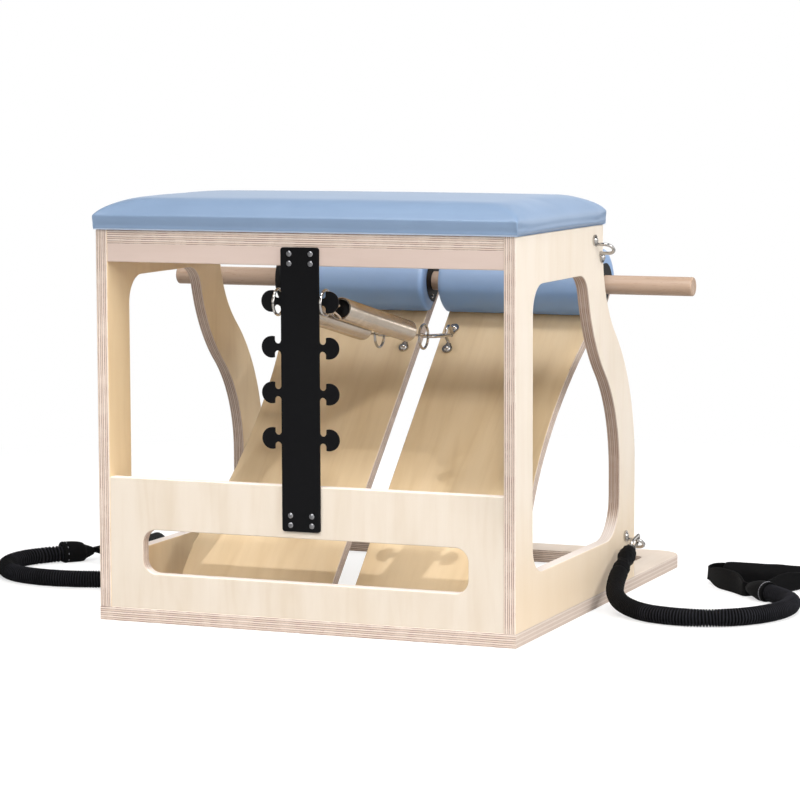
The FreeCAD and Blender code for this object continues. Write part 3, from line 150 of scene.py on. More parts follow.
# Webbing loop: half of its plan along the handle and across it, and its tip at the cuff
STRAP_PLAN = (
    (0.1100, 0.0623), (0.1114, 0.0700), (0.1114, 0.0790), (0.1060, 0.0858), (0.0955, 0.0846), (0.0815, 0.0732),
    (0.0655, 0.0580), (0.0480, 0.0422), (0.0290, 0.0255), (0.0130, 0.0110), (0.0055, 0.0035),
)
STRAP_PLAN_TIP = (0.0045, 0.0)
STRAP_PLAN_STEPS = 8
STRAP_REACH = 0.110
STRAP_HALF_SPREAD = 0.084
STRAP_THICK = 0.003
STRAP_WIDTH = 0.032
STRAP_TIP_CORNER = 0.007
STRAP_NECK = 0.42
STRAP_NECK_PLACE = 0.74
STRAP_NECK_SPAN = 0.14
STRAP_WAVE = 0.0024
STRAP_WAVE_TURNS = 9
STRAP_LEAN = ((0.20, 1.0), (0.08, 2.3))
# Pinch of the webbing at the cuff: depth, place, span and lift
STRAP_PINCH = {"right": (0.014, -0.12, 0.20, 0.0), "left": (0.024, 0.0, 0.36, 1.0)}
# Webbing section: shares of the half thickness and of the half width, up one face
STRAP_SECTION = (
    (-0.4, -1.0), (0.4, -1.0), (1.12, -0.95), (1.12, -0.86), (0.85, -0.79), (0.85, -0.4), (0.85, 0.0),
    (0.85, 0.4), (0.85, 0.79), (1.12, 0.86), (1.12, 0.95), (0.4, 1.0),
)
LINK_GAP = 0.0003
FLOOR_CLEARANCE = 0.0005

# Grip: its end as depth and radius, from the bore outwards
GRIP_HALF_LENGTH = 0.062
GRIP_RADIUS = 0.017
GRIP_BORE = 0.009
GRIP_END = (
    (0.010, GRIP_BORE), (0.002, GRIP_BORE), (0.0002, GRIP_BORE + 0.0012), (0, 0.0125), (0.0006, 0.0146),
    (0.0022, 0.0158), (0.006, 0.0161),
)
GRIP_BODY_SHARE = 0.86
GRIP_BODY_RINGS = 29
GRIP_BARREL = 0.0008
GRIP_EASE = 0.00015
GRIP_OUTER_SKIN = (0.0145, 0.0160)
GRIP_FOLDS = ((2, 70), (3, 110), (5, 170))
GRIP_FOLD_DEPTH = 0.00016
GRIP_SEAM_DEPTH = 0.0007
GRIP_SEAM_PLACE = 2.2
GRIP_SEAM_WIDTH = 0.10

# Bound end of a cord at its side eye: share of its length and radius
CORD_CUFF_LENGTH = 0.060
CORD_CUFF_PROFILE = (
    (-0.08, 0.0100), (0.00, 0.0114), (0.08, 0.0122), (0.18, 0.0121), (0.28, 0.0108), (0.36, 0.0099), (0.44, 0.0104),
    (0.55, 0.0119), (0.68, 0.0124), (0.80, 0.0117), (0.90, 0.0103), (0.97, 0.0088), (1.00, 0.0066),
)
CORD_CUFF_RINGS = 100
CORD_CUFF_SIDES = 36
CORD_CUFF_FOLDS = ((4, 120), (6, 210), (9, 330))
CORD_CUFF_FOLD_DEPTH = 0.00026
TAPE_PITCH = 0.0085
TAPE_THICK = 0.0008
TAPE_RISE = (0.0, 0.9)
TAPE_STEP = (0.93, 1.0)
BAIL_WIRE = 0.0025
BAIL_RADIUS = 0.006
BAIL_LEG = 0.004
BAIL_ROOT = 0.006
BAIL_STEPS = 16
BAIL_SIDES = 14

# Springs
SPRING_OUTER = 0.0161
SPRING_WIRE = 0.0036
SPRING_PITCH = 0.0046
SPRING_LOOP_RADIUS = 0.010
# Dark rod inside each coil, painted shade for the hollow of the spring: its radius and its inset from the coil's
# ends
SPRING_SHADE_CORE_RADIUS = 0.0119
SPRING_SHADE_CORE_INSET = 0.004
SPRING_UPPER_REACH = 0.031
SPRING_LOWER_REACH = 0.042
RING_TO_LOOP = 0.0232
SPRING_TAIL_ANGLE = 50.0
SPRING_LEAVE_SLOPE = 0.018
SPRING_LEAVE_CLIMB = 0.15
SPRING_ENTER_SLOPE = 0.016
SPRING_NECK_STEPS = 14
SPRING_LOOP_STEPS = 24
SPRING_WIRE_SIDES = 8
SPRING_SHADE_CORE_SIDES = 24
COIL_STEPS = 26

# Upholstery cloth
CLOTH = {
    "quality": 6, "mass": 0.3, "tension_stiffness": 30, "compression_stiffness": 30, "shear_stiffness": 15,
    "bending_stiffness": 4, "use_pressure": True, "uniform_pressure_force": 2.5, "vertex_group_mass": "pinned",
}
CLOTH_FRAMES = 20

# Seat cushion
CUSHION_WALL = 0.021
CUSHION_SHOULDER = 0.060
CUSHION_SIDE_SHOULDER = 0.036
CUSHION_CROWN = 0.003
CUSHION_DRAW = 0.0015
CUSHION_DRAW_POWER = 6
CUSHION_CORNER = 0.003
CUSHION_HIP = 0.008
CUSHION_BAND_PLACE = 0.011
CUSHION_BAND_WIDTH = 0.006
CUSHION_REAR_BAND = 0.0012
CUSHION_LEAN = 0.0045
CUSHION_OVERHANG = 0.0028
CUSHION_SIDE_FULLNESS = 0.0030
CUSHION_BULGE = 0.0012
CUSHION_SEAT_GAP = 0.0002
CUSHION_SWELL = 0.0018
CUSHION_STEPS = (0, 0.0022, 0.006, 0.011, 0.018, 0.027, 0.038, 0.051, 0.065, 0.080)
CUSHION_MIDDLE_STEP = 0.016
CUSHION_WALL_SHARES = (0.11, 0.30, 0.52, 0.72, 0.87, 0.95, 0.985)
CUSHION_RELAX = 0.7
CUSHION_RELAX_ROUNDS = 14
CUSHION_RELAX_FROM_SIDE = (0.050, 0.018)
CUSHION_RELAX_FROM_REAR = (0.006, 0.040)
CUSHION_RELAX_FROM_FOOT = (0.0002, 0.003)
CUSHION_RIDGE_CREASE = 0.15
CUSHION_FOOT_CREASE = 0.9
UPHOLSTERY_LEVELS = 2

# Pedals and their pads, along the board from the hinge and above it
PEDAL_ANGLE = math.radians(44.4)
BOARD_FACE = -0.0054
PEDAL_THICK = 0.018
PEDAL_OUTER = 0.262
PAD_CENTRE = 0.609
PAD_HALF = 0.046
PAD_BELLY = 0.005
PAD_SIDE_HEIGHT = 0.054
PAD_HEIGHT = 0.077
PAD_RIM = 0.007
PAD_TUCK = 0.006
PAD_SOLE = 0.0003
PAD_TUCK_LINE = ((PAD_TUCK, PAD_SOLE), (0.0032, 0.0008), (0.0008, 0.0026))
PAD_FOOT_OUT = 0.0004
PAD_FOOT_HEIGHT = 0.0052
PAD_FLAT_HEIGHT = 0.004
PAD_SIDE_STEPS, PAD_TOP_STEPS, PAD_SOLE_STEPS = 8, 14, 10
PAD_INNER = 0.0125
PAD_OUTER = {"right": 0.2675, "left": 0.2525}
PAD_STEPS = (0, 0.0009, 0.0028, 0.0058, 0.010, 0.018, 0.030, 0.046, 0.064, 0.084, 0.104)
PAD_END_SHARES = (0.18, 0.45, 0.75, 1.0)
PAD_TUNNEL_SHARES = (0.96, 0.5, 0.04)
PAD_SWELL = 0.0022
PAD_FOOT_CREASE = 0.8
PAD_BORE = 0.0152
DOWEL_ABOVE_BOARD = 0.0235
BLOCK_INSET = 0.003
BLOCK_LIFT = 0.0006
BLOCK_SOFT = 0.0012
BLOCK_SOFT_DRAW = 0.7 * BLOCK_SOFT
BLOCK_LAP = 0.0008
BLOCK_CAP_GAP = 0.0003


def assign(target, **values):
    """Set several properties of one thing."""
    for key, value in values.items():
        setattr(target, key, value)


def add_object(name, data):
    """Object in the scene for a mesh, curve, camera or lamp."""
    thing = bpy.data.objects.new(name, data)
    scene.collection.objects.link(thing)
    return thing


def make_camera():
    """Camera at the photograph's viewing angle."""
    yaw, pitch, roll = (math.radians(angle) for angle in (CAMERA_YAW, CAMERA_PITCH, CAMERA_ROLL))
    data = bpy.data.cameras.new("photo_camera")
    assign(data, lens=CAMERA_LENS, sensor_width=CAMERA_SENSOR, sensor_fit="HORIZONTAL", clip_end=CAMERA_REACH)
    tilt = Matrix.Rotation(math.pi / 2 - pitch, 4, "X") @ Matrix.Rotation(roll, 4, "Z")
    scene.camera = add_object("photo_camera", data)
    scene.camera.matrix_world = Matrix.Translation(CAMERA_PLACE) @ Matrix.Rotation(yaw, 4, "Z") @ tilt


make_camera()


# Mesh helpers

def add_mesh(name, vertices, faces):
    """Smooth-shaded mesh object from vertices and faces."""
    mesh = bpy.data.meshes.new(name)
    mesh.from_pydata([tuple(v) for v in vertices], [], faces)
    mesh.update()
    mesh.shade_smooth()
    return add_object(name, mesh)


def places(mesh):
    """Vertex coordinates of a mesh as an array."""
    return np.array([tuple(v.co) for v in mesh.vertices])


def evaluated(piece):
    """A piece with its modifiers at work."""
    return piece.evaluated_get(bpy.context.evaluated_depsgraph_get())


def grid_faces(rows, columns, looped=False):
    """Quads of a stack of closed rings, or of a loop of them."""
    faces = []
    for i in range(rows if looped else rows - 1):
        n = (i + 1) % rows
        for j in range(columns):
            k = (j + 1) % columns
            faces.append((i * columns + j, i * columns + k, n * columns + k, n * columns + j))
    return faces


def path_frames(points):
    """Two side directions that turn as little as possible along a path."""
    tangents = np.gradient(np.asarray(points, float), axis=0)
    tangents /= np.linalg.norm(tangents, axis=1)[:, None]
    side = np.array(X_AXIS if abs(tangents[0][2]) >= STEEP else Z_AXIS)
    firsts = []
    for tangent in tangents:
        side = side - tangent * side.dot(tangent)
        side = side / np.linalg.norm(side)
        firsts.append(side)
    firsts = np.array(firsts)
    return firsts, np.cross(tangents, firsts)


def ring_angles(sides):
    """Angles of the points round a ring."""
    return np.linspace(0, TURN, sides, endpoint=False)


def ring_points(centres, firsts, seconds, wide, high):
    """Rings of points; wide and high are radii for each ring and side, directions for each ring or for all."""
    angles = ring_angles(wide.shape[1])
    across = (wide * np.cos(angles))[:, :, None] * np.reshape(firsts, (-1, 1, 3))
    upward = (high * np.sin(angles))[:, :, None] * np.reshape(seconds, (-1, 1, 3))
    return np.asarray(centres)[:, None, :] + across + upward


def closed_stack(name, rings):
    """Mesh from rings of points, closed at both ends and nowhere below the floor."""
    rings[:, :, 2] = np.maximum(rings[:, :, 2], FLOOR_TOUCH)
    rows, sides = rings.shape[:2]
    faces = grid_faces(rows, sides)
    ends = np.array([rings[0].mean(axis=0), rings[-1].mean(axis=0)])
    first, last = rows * sides, rows * sides + 1
    for j in range(sides):
        k = (j + 1) % sides
        faces.append((first, k, j))
        faces.append((last, (rows - 1) * sides + j, (rows - 1) * sides + k))
    return add_mesh(name, np.vstack([rings.reshape(-1, 3), ends]), faces)


def rod(name, points, radius, sides):
    """Round rod along a line."""
    radii = np.full((len(points), sides), radius)
    return closed_stack(name, ring_points(points, *path_frames(points), radii, radii))


def arc_lengths(points):
    """Distance along a path at each of its points."""
    steps = np.linalg.norm(np.diff(points, axis=0), axis=1)
    return np.concatenate([[0.0], np.cumsum(steps)])


def wander(values, random, waves, reach):
    """Slow smooth wobble of a value, from a few sine waves."""
    total = np.zeros_like(values)
    for wave in waves:
        total += random.uniform(0.5, 1.0) * np.sin(values * wave + random.uniform(0, TURN))
    return total * reach / len(waves)


def folds(random, waves, sides, stations):
    """Soft folds round a tube, each with its lobes round it and its drift along it."""
    total = np.zeros((len(stations), sides))
    for lobes, drift in waves:
        total += np.sin(lobes * ring_angles(sides)[None, :] + random.uniform(0, 6) + drift * stations[:, None])
    return total


def smooth_step(values, low, high):
    """Smooth 0 to 1 ramp between two values."""
    share = np.clip((values - low) / (high - low), 0, 1)
    return share * share * (3 - 2 * share)


def bell(values, middle, width):
    """Smooth bump of height 1."""
    return np.exp(-((values - middle) / width) ** 2)


def box_middle(node):
    low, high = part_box(node)
    return (low + high) / 2


# Cords: NURBS lines first, then their ruched sleeves

def route_points(side):
    """Points of a cord's route in the frame of the model."""
    panel_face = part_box("right_side_panel")[1].x
    return [
        Vector((SIDES[side] * (panel_face + out), LOWER_EYE_DEPTH + ahead, height))
        for out, ahead, height in CORD_ROUTES[side]
    ]


def cord_line(side):
    """Points along the cord's NURBS spline."""
    route = route_points(side)
    curve = bpy.data.curves.new(side + "_cord_line", "CURVE")
    assign(curve, dimensions="3D", resolution_u=CORD_RESOLUTION)
    spline = curve.splines.new("NURBS")
    spline.points.add(len(route) - 1)
    for point, place in zip(spline.points, route):
        point.co = (*place, 1)
    assign(spline, order_u=3, use_endpoint_u=True)
    carrier = add_object(side + "_cord_line", curve)
    bpy.context.view_layer.update()
    mesh = bpy.data.meshes.new_from_object(evaluated(carrier))
    points = places(mesh)
    bpy.data.meshes.remove(mesh)
    bpy.data.objects.remove(carrier)
    bpy.data.curves.remove(curve)
    return points


def ruched_radius(run, ribs, seed):
    """Sleeve radius along a cord and round it: gathered ribs that wander and deepen."""
    random = np.random.RandomState(seed)
    angles = ring_angles(CORD_SIDES)[None, :]
    share = run / run[-1]
    places, pitches, depths = np.array(ribs).T
    pitch = np.interp(share, places, pitches) * (1 + wander(run, random, *PITCH_WOBBLE))
    depth = np.interp(share, places, depths) * (1 + wander(run, random, *DEPTH_WOBBLE))
    phase = math.pi * np.cumsum(np.diff(run, prepend=run[0]) / pitch)
    twist = np.zeros((len(run), CORD_SIDES))
    crease = np.zeros((len(run), CORD_SIDES))
    for lobes in TWIST_LOBES:
        turn = wander(run, random, *TWIST_WOBBLE)
        twist += (TWIST_REACH / lobes) * np.sin(lobes * angles + TWIST_DRIFT * turn[:, None])
    for lobes in CREASE_LOBES:
        turn = wander(run, random, *CREASE_WOBBLE)
        crease += np.sin(lobes * angles + turn[:, None])
    rib = np.abs(np.sin(phase[:, None] + twist)) ** RIB_SHARPNESS
    mouth = 1 - SLEEVE_MOUTH_DRAW * bell(run, 0, SLEEVE_MOUTH_LENGTH)
    radius = SLEEVE_RADIUS * mouth[:, None] - depth[:, None] * (1 - rib)
    return radius - CREASE_DEPTH * (crease + len(CREASE_LOBES) / 2)


def make_cord(side, points, seed):
    """Ruched sleeve along a cord's line, with the crests of its deep ribs marked for a painted highlight in the
    fabric.
    """
    radius = ruched_radius(arc_lengths(points), SLEEVE_RIBS[side], seed)
    piece = closed_stack(side + "_cord_sleeve", ring_points(points, *path_frames(points), radius, radius))
    high = smooth_step(radius, *(SLEEVE_RADIUS - below for below in CREST_BELOW_TOP))
    window = np.ones(CREST_WINDOW) / CREST_WINDOW
    depth = np.convolve((SLEEVE_RADIUS - radius).mean(axis=1), window, mode="same")
    crest = np.zeros(len(piece.data.vertices))
    crest[:radius.size] = (high * smooth_step(depth, *CREST_RIB_DEPTH)[:, None]).ravel()
    attribute = piece.data.attributes.new("rib_crest_highlight", "FLOAT", "POINT")
    attribute.data.foreach_set("value", crest)
    return piece


cord_lines = {side: cord_line(side) for side in SIDES}
cords = {side: make_cord(side, cord_lines[side], CORD_SEED + i) for i, side in enumerate(SIDES)}


# Handles: tapered cuff, webbing loop and padded grip at each cord's far end

def handle_axes(side):
    """End of the cord, its heading, the handle's heading and sideways direction, and the strap's tip."""
    route = route_points(side)
    end = route[-1]
    ahead = (end - route[-2]).normalized()
    heading = Vector((ahead.x, ahead.y, 0)).normalized()
    level = Matrix.Rotation(math.radians(HANDLE_ANGLES[side]), 3, "Z") @ heading
    half_angle = math.atan2(STRAP_HALF_SPREAD, STRAP_REACH)
    bend = end + ahead * (HANDLE_CUFF_LENGTH + LINK_GAP + STRAP_TIP_CORNER + STRAP_THICK / 2)
    tip = bend - level * (STRAP_TIP_CORNER / math.sin(half_angle))
    tip.z = FLOOR_CLEARANCE + STRAP_WIDTH / 2
    return end, ahead, level, Z_AXIS.cross(level), tip


def make_handle_cuff(side, seed):
    """Soft cuff that tapers from the sleeve to a flat tip, with a rolled hem at its mouth."""
    end, ahead = handle_axes(side)[:2]
    index = np.arange(len(HANDLE_CUFF_PROFILE))
    fine = np.linspace(0, index[-1], HANDLE_CUFF_DETAIL * len(index))
    stations, wide, high = (np.interp(fine, index, values) for values in np.array(HANDLE_CUFF_PROFILE).T)
    full = 1 + (CUFF_FULLNESS[side] - 1) * smooth_step(wide, *CUFF_FULL_BETWEEN)
    fold = folds(np.random.RandomState(seed), CUFF_FOLDS, HANDLE_SIDES, stations)
    fold *= CUFF_FOLD_DEPTH * smooth_step(stations, *CUFF_FOLD_START)[:, None]
    sideways = np.array(Z_AXIS.cross(ahead).normalized())
    upward = np.cross(np.array(ahead), sideways)
    centres = np.array(end) + stations[:, None] * np.array(ahead)
    wide, high = ((radii * full)[:, None] + fold for radii in (wide, high))
    return closed_stack(side + "_handle_cuff_cover", ring_points(centres, sideways, upward, wide, high))


def make_stitches(side):
    """Pale hem stitches round the mouth of a handle cuff."""
    end, ahead = handle_axes(side)[:2]
    sideways = Z_AXIS.cross(ahead).normalized()
    upward = ahead.cross(sideways)
    count = STITCH_COUNTS[side]
    shell = grid_faces(len(STITCH_SECTIONS), len(SQUARE)) + [(8, 9, 10, 11), (3, 2, 1, 0)]
    vertices = []
    faces = []
    for i in range(count):
        angle = TURN * (i + STITCH_PHASE) / count
        out = sideways * math.cos(angle) + upward * math.sin(angle)
        along = ahead.cross(out)
        middle = end + ahead * STITCH_PLACE + out * (STITCH_RADIUS * CUFF_FULLNESS[side])
        if middle.z < STITCH_LOWEST:
            continue
        faces += [tuple(len(vertices) + corner for corner in face) for face in shell]
        for lift, wide, long in STITCH_SECTIONS:
            for a, b in SQUARE:
                vertices.append(middle + out * lift + ahead * (a * wide) + along * (b * long))
    return add_mesh(side + "_handle_stitches", vertices, faces)


def catmull(points, steps):
    """Smooth line through given points."""
    points = [np.array(p, float) for p in points]
    padded = [2 * points[0] - points[1], *points, 2 * points[-1] - points[-2]]
    line = []
    for a, b, c, d in zip(padded, padded[1:], padded[2:], padded[3:]):
        for i in range(steps):
            t = i / steps
            line.append(0.5 * (2 * b + (c - a) * t + (2 * a - 5 * b + 4 * c - d) * t ** 2
                               + (3 * b - a - 3 * c + d) * t ** 3))
    line.append(points[-1])
    return np.array(line)


def make_strap(side):
    """Webbing loop on edge, from one end of the grip round the cuff's tip to the other."""
    level, sideways, tip = (np.array(vector) for vector in handle_axes(side)[2:])
    plan = [(along, -across) for along, across in STRAP_PLAN]
    plan += [STRAP_PLAN_TIP, *reversed(STRAP_PLAN)]
    line = catmull(plan, STRAP_PLAN_STEPS)
    run = arc_lengths(line)
    share = 2 * run / run[-1] - 1
    depth, place, span, lift = STRAP_PINCH[side]
    pinch = depth * bell(share, place, span)
    taper = 1 - STRAP_NECK * bell(np.abs(share), STRAP_NECK_PLACE, STRAP_NECK_SPAN)
    half_high = taper * (STRAP_WIDTH - pinch) / 2
    wave = STRAP_WAVE * np.sin(STRAP_WAVE_TURNS * share) * (1 - share ** 2)
    lean = sum(reach * np.sin(turns * math.pi * share) for reach, turns in STRAP_LEAN)
    centres = tip + line[:, :1] * level + line[:, 1:] * sideways
    centres[:, 2] = FLOOR_CLEARANCE + (STRAP_WIDTH - pinch) / 2 + lift * pinch / 2
    tangents = np.gradient(centres, axis=0)
    tangents[:, 2] = 0
    tangents /= np.linalg.norm(tangents, axis=1)[:, None]
    up = np.tile(np.array(Z_AXIS), (len(centres), 1))
    out = np.cross(tangents, up)
    centres += out * wave[:, None]
    up = up * np.cos(lean)[:, None] + out * np.sin(lean)[:, None]
    out = np.cross(tangents, up)
    section = [(a * STRAP_THICK / 2, b) for a, b in STRAP_SECTION]
    section += [(-a, b) for a, b in reversed(section[2:])]
    aside, above = np.array(section).T
    rings = centres[:, None, :] + out[:, None, :] * aside[None, :, None]
    rings = rings + up[:, None, :] * (half_high[:, None] * above)[:, :, None]
    return closed_stack(side + "_handle_webbing", rings)


def make_grip(side, seed):
    """Padded grip: a foam tube with drawn-in ends, an open bore and a lengthwise seam."""
    level, sideways, tip = handle_axes(side)[2:]
    middle = tip + level * STRAP_REACH
    middle.z = FLOOR_CLEARANCE + GRIP_RADIUS
    near_end = [(-GRIP_HALF_LENGTH + depth, radius) for depth, radius in GRIP_END]
    body = [
        (GRIP_HALF_LENGTH * share, GRIP_RADIUS - GRIP_BARREL * share ** 2 - GRIP_EASE)
        for share in np.linspace(-GRIP_BODY_SHARE, GRIP_BODY_SHARE, GRIP_BODY_RINGS)
    ]
    far_end = [(-station, radius) for station, radius in reversed(near_end)]
    stations, radii = np.array(near_end + body + far_end).T
    fold = folds(np.random.RandomState(seed), GRIP_FOLDS, HANDLE_SIDES, stations)
    seam = bell(ring_angles(HANDLE_SIDES), GRIP_SEAM_PLACE, GRIP_SEAM_WIDTH)
    outer = smooth_step(radii, *GRIP_OUTER_SKIN)[:, None]
    radius = radii[:, None] + outer * (GRIP_FOLD_DEPTH * fold - GRIP_SEAM_DEPTH * seam[None, :])
    centres = [middle + sideways * station for station in stations]
    return closed_stack(side + "_handle_foam", ring_points(centres, level, Z_AXIS, radius, radius))


def cord_start(side):
    """Start of a cord and the direction back to its side eye."""
    route = route_points(side)
    return route[0], (route[0] - route[1]).normalized()


def make_cord_cuff(side, seed):
    """Bound end of a cord: two gathered lumps under wrapped tape."""
    start, back = cord_start(side)
    share = np.linspace(CORD_CUFF_PROFILE[0][0], 1, CORD_CUFF_RINGS)
    stations = share * CORD_CUFF_LENGTH
    radius = np.interp(share, *np.array(CORD_CUFF_PROFILE).T)
    wraps = stations[:, None] / TAPE_PITCH + ring_angles(CORD_CUFF_SIDES)[None, :] / TURN
    tape = wraps - np.floor(wraps)
    edge = TAPE_THICK * smooth_step(tape, *TAPE_RISE) * (1 - smooth_step(tape, *TAPE_STEP))
    fold = folds(np.random.RandomState(seed), CORD_CUFF_FOLDS, CORD_CUFF_SIDES, stations)
    full = radius[:, None] + edge + CORD_CUFF_FOLD_DEPTH * fold
    first = np.array(back.cross(X_AXIS).normalized())
    second = np.cross(np.array(back), first)
    centres = np.array(start) + stations[:, None] * np.array(back)
    return closed_stack(side + "_cord_cuff_wrap", ring_points(centres, first, second, full, full))


def make_bail(side):
    """Wire loop at the tip of a cord's bound end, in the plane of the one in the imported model."""
    start, back = cord_start(side)
    node = frame["nodes"][side + "_cord_cuff"]
    corners = places(node.data) - np.array(start)
    loop = corners[corners @ np.array(back) > CORD_CUFF_LENGTH + BAIL_LEG / 2]
    flat = loop - (loop @ np.array(back))[:, None] * np.array(back)
    flat -= flat.mean(axis=0)
    across = Vector(np.linalg.svd(flat)[2][0])
    leg = (CORD_CUFF_LENGTH - BAIL_ROOT, CORD_CUFF_LENGTH)
    line = [(-BAIL_RADIUS, place) for place in leg]
    for i in range(BAIL_STEPS + 1):
        turn = math.pi * (1 - i / BAIL_STEPS)
        line.append((BAIL_RADIUS * math.cos(turn), CORD_CUFF_LENGTH + BAIL_LEG + BAIL_RADIUS * math.sin(turn)))
    line += [(BAIL_RADIUS, place) for place in reversed(leg)]
    points = np.array([start + across * a + back * b for a, b in line])
    return rod(side + "_cord_bail", points, BAIL_WIRE, BAIL_SIDES)


handle_cuffs = {}
straps = {}
grips = {}
cord_cuffs = {}
bails = {}
stitches = {}
for i, side in enumerate(SIDES):
    handle_cuffs[side] = make_handle_cuff(side, HANDLE_CUFF_SEED + i)
    straps[side] = make_strap(side)
    grips[side] = make_grip(side, GRIP_SEED + i)
    cord_cuffs[side] = make_cord_cuff(side, CORD_CUFF_SEED + i)
    bails[side] = make_bail(side)
    stitches[side] = make_stitches(side)


# Springs: close-wound wire with a loop at each end

def hermite(start, start_slope, end, end_slope, steps):
    """Smooth stretch of wire between two points with given slopes."""
    line = []
    for i in range(1, steps):
        t = i / steps
        line.append(start * (2 * t ** 3 - 3 * t ** 2 + 1) + start_slope * (t ** 3 - 2 * t ** 2 + t)
                    + end * (3 * t ** 2 - 2 * t ** 3) + end_slope * (t ** 3 - t ** 2))
    return line


def spring_end_line(length, reach, mean, angle):
    """Wire from the end of the coil round the end loop, in the spring's own axes."""
    leave = Vector((mean * math.cos(angle), mean * math.sin(angle), length))
    heading = Vector((-math.sin(angle), math.cos(angle), SPRING_LEAVE_CLIMB)) * SPRING_LEAVE_SLOPE
    loop = length + reach
    enter = Vector((-SPRING_LOOP_RADIUS, 0, loop))
    line = hermite(leave, heading, enter, Vector((0, 0, SPRING_ENTER_SLOPE)), SPRING_NECK_STEPS)
    stop = -math.radians(SPRING_TAIL_ANGLE)
    for i in range(SPRING_LOOP_STEPS + 1):
        turn = math.pi + (stop - math.pi) * i / SPRING_LOOP_STEPS
        line.append(Vector((SPRING_LOOP_RADIUS * math.cos(turn), 0, loop + SPRING_LOOP_RADIUS * math.sin(turn))))
    return line


def make_spring(side):
    """Spring between the upper and lower rings of one side, with both ends of its coil."""
    upper = box_middle(side + "_upper_ring")
    lower = box_middle(side + "_lower_ring")
    along = (lower - upper).normalized()
    begin = upper + along * (RING_TO_LOOP + SPRING_UPPER_REACH)
    finish = lower - along * (RING_TO_LOOP + SPRING_LOWER_REACH)
    length = (finish - begin).length
    mean = SPRING_OUTER - SPRING_WIRE / 2
    turns = length / SPRING_PITCH
    steps = int(COIL_STEPS * turns)
    top_angle = math.pi / 2
    end_angle = top_angle + TURN * turns
    head = [
        Vector((point.x, -point.y, length - point.z))
        for point in spring_end_line(length, SPRING_UPPER_REACH, mean, -top_angle)
    ]
    coil = []
    for i in range(steps + 1):
        angle = top_angle + (end_angle - top_angle) * i / steps
        coil.append(Vector((mean * math.cos(angle), mean * math.sin(angle), length * i / steps)))
    tail = spring_end_line(length, SPRING_LOWER_REACH, mean, end_angle)
    normal = along.cross(X_AXIS)
    line = [*reversed(head), *coil, *tail]
    points = np.array([begin + X_AXIS * p.x + normal * p.y + along * p.z for p in line])
    return rod(side + "_coil_spring", points, SPRING_WIRE / 2, SPRING_WIRE_SIDES), begin, finish


def make_spring_shade_core(side, begin, finish):
    """Dark rod inside the coil, put there as painted shade in the hollow of the spring."""
    inset = (finish - begin).normalized() * SPRING_SHADE_CORE_INSET
    points = np.linspace(np.array(begin + inset), np.array(finish - inset), SPRING_SHADE_CORE_SIDES)
    return rod(side + "_spring_shade_core", points, SPRING_SHADE_CORE_RADIUS, SPRING_SHADE_CORE_SIDES)


springs = {}
spring_shade_cores = {}
for side in SIDES:
    springs[side], begin, finish = make_spring(side)
    spring_shade_cores[side] = make_spring_shade_core(side, begin, finish)
    for piece in (springs[side], spring_shade_cores[side]):
        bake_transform(piece)
    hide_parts(side + "_spring")


# Upholstery: structured forms that a cloth simulation fills out

def inflate(piece, pinned, cap):
    """Swell a mesh with a short pressure simulation, no point moving further than the cap."""
    group = piece.vertex_groups.new(name="pinned")
    group.add([int(i) for i in pinned], 1.0, "REPLACE")
    settings = piece.modifiers.new("Cloth", "CLOTH").settings
    assign(settings, **CLOTH)
    settings.effector_weights.gravity = 0
    rest = places(piece.data)
    for step in range(1, CLOTH_FRAMES + 1):
        scene.frame_set(step)
    shift = places(evaluated(piece).data) - rest
    far = np.linalg.norm(shift, axis=1)
    shift *= np.minimum(1, cap / np.maximum(far, 1e-9))[:, None]
    piece.modifiers.clear()
    piece.vertex_groups.clear()
    scene.frame_set(1)
    piece.data.vertices.foreach_set("co", (rest + shift).ravel())
    piece.data.update()


def set_crease(piece, pairs, amount):
    """Crease the edges between the named pairs of vertices."""
    wanted = {frozenset(pair) for pair in pairs}
    crease = piece.data.attributes.get("crease_edge")
    if crease is None:
        crease = piece.data.attributes.new("crease_edge", "FLOAT", "EDGE")
    for edge in piece.data.edges:
        if frozenset(edge.vertices) in wanted:
            crease.data[edge.index].value = amount


def subdivided(piece):
    """Apply a subdivision surface to a mesh piece."""
    modifier = piece.modifiers.new("Subdivision", "SUBSURF")
    assign(modifier, levels=UPHOLSTERY_LEVELS, render_levels=UPHOLSTERY_LEVELS)
    mesh = bpy.data.meshes.new_from_object(evaluated(piece))
    piece.modifiers.clear()
    old = piece.data
    piece.data = mesh
    mesh.name = piece.name
    bpy.data.meshes.remove(old)
    mesh.shade_smooth()
    return piece


def spaced(half):
    """Places across a width: close together at the edges, wider in the middle."""
    inner = half - CUSHION_STEPS[-1]
    count = round(2 * inner / CUSHION_MIDDLE_STEP)
    places = [-half + step for step in CUSHION_STEPS[:-1]]
    places += [-inner + 2 * inner * i / count for i in range(count + 1)]
    places += [half - step for step in reversed(CUSHION_STEPS[:-1])]
    return np.array(places)


def shoulder_rise(distance, half, rise, band, shoulder):
    """Height of the top above the ridge at a distance from one edge, with a rolled band along it."""
    radius = (shoulder ** 2 + rise ** 2) / (2 * rise)
    near = np.clip(distance, 0, shoulder)
    arc = np.sqrt(radius ** 2 - (shoulder - near) ** 2) - (radius - rise)
    inner = half - shoulder
    over = np.clip(distance - shoulder, 0, inner)
    crown = CUSHION_CROWN * (1 - ((inner - over) / inner) ** 2)
    return arc + crown - band * bell(distance, CUSHION_BAND_PLACE, CUSHION_BAND_WIDTH)


def soft_least(a, b, width):
    """Smooth lesser of two values."""
    share = np.clip(0.5 + 0.5 * (b - a) / width, 0, 1)
    return b * (1 - share) + a * share - width * share * (1 - share)


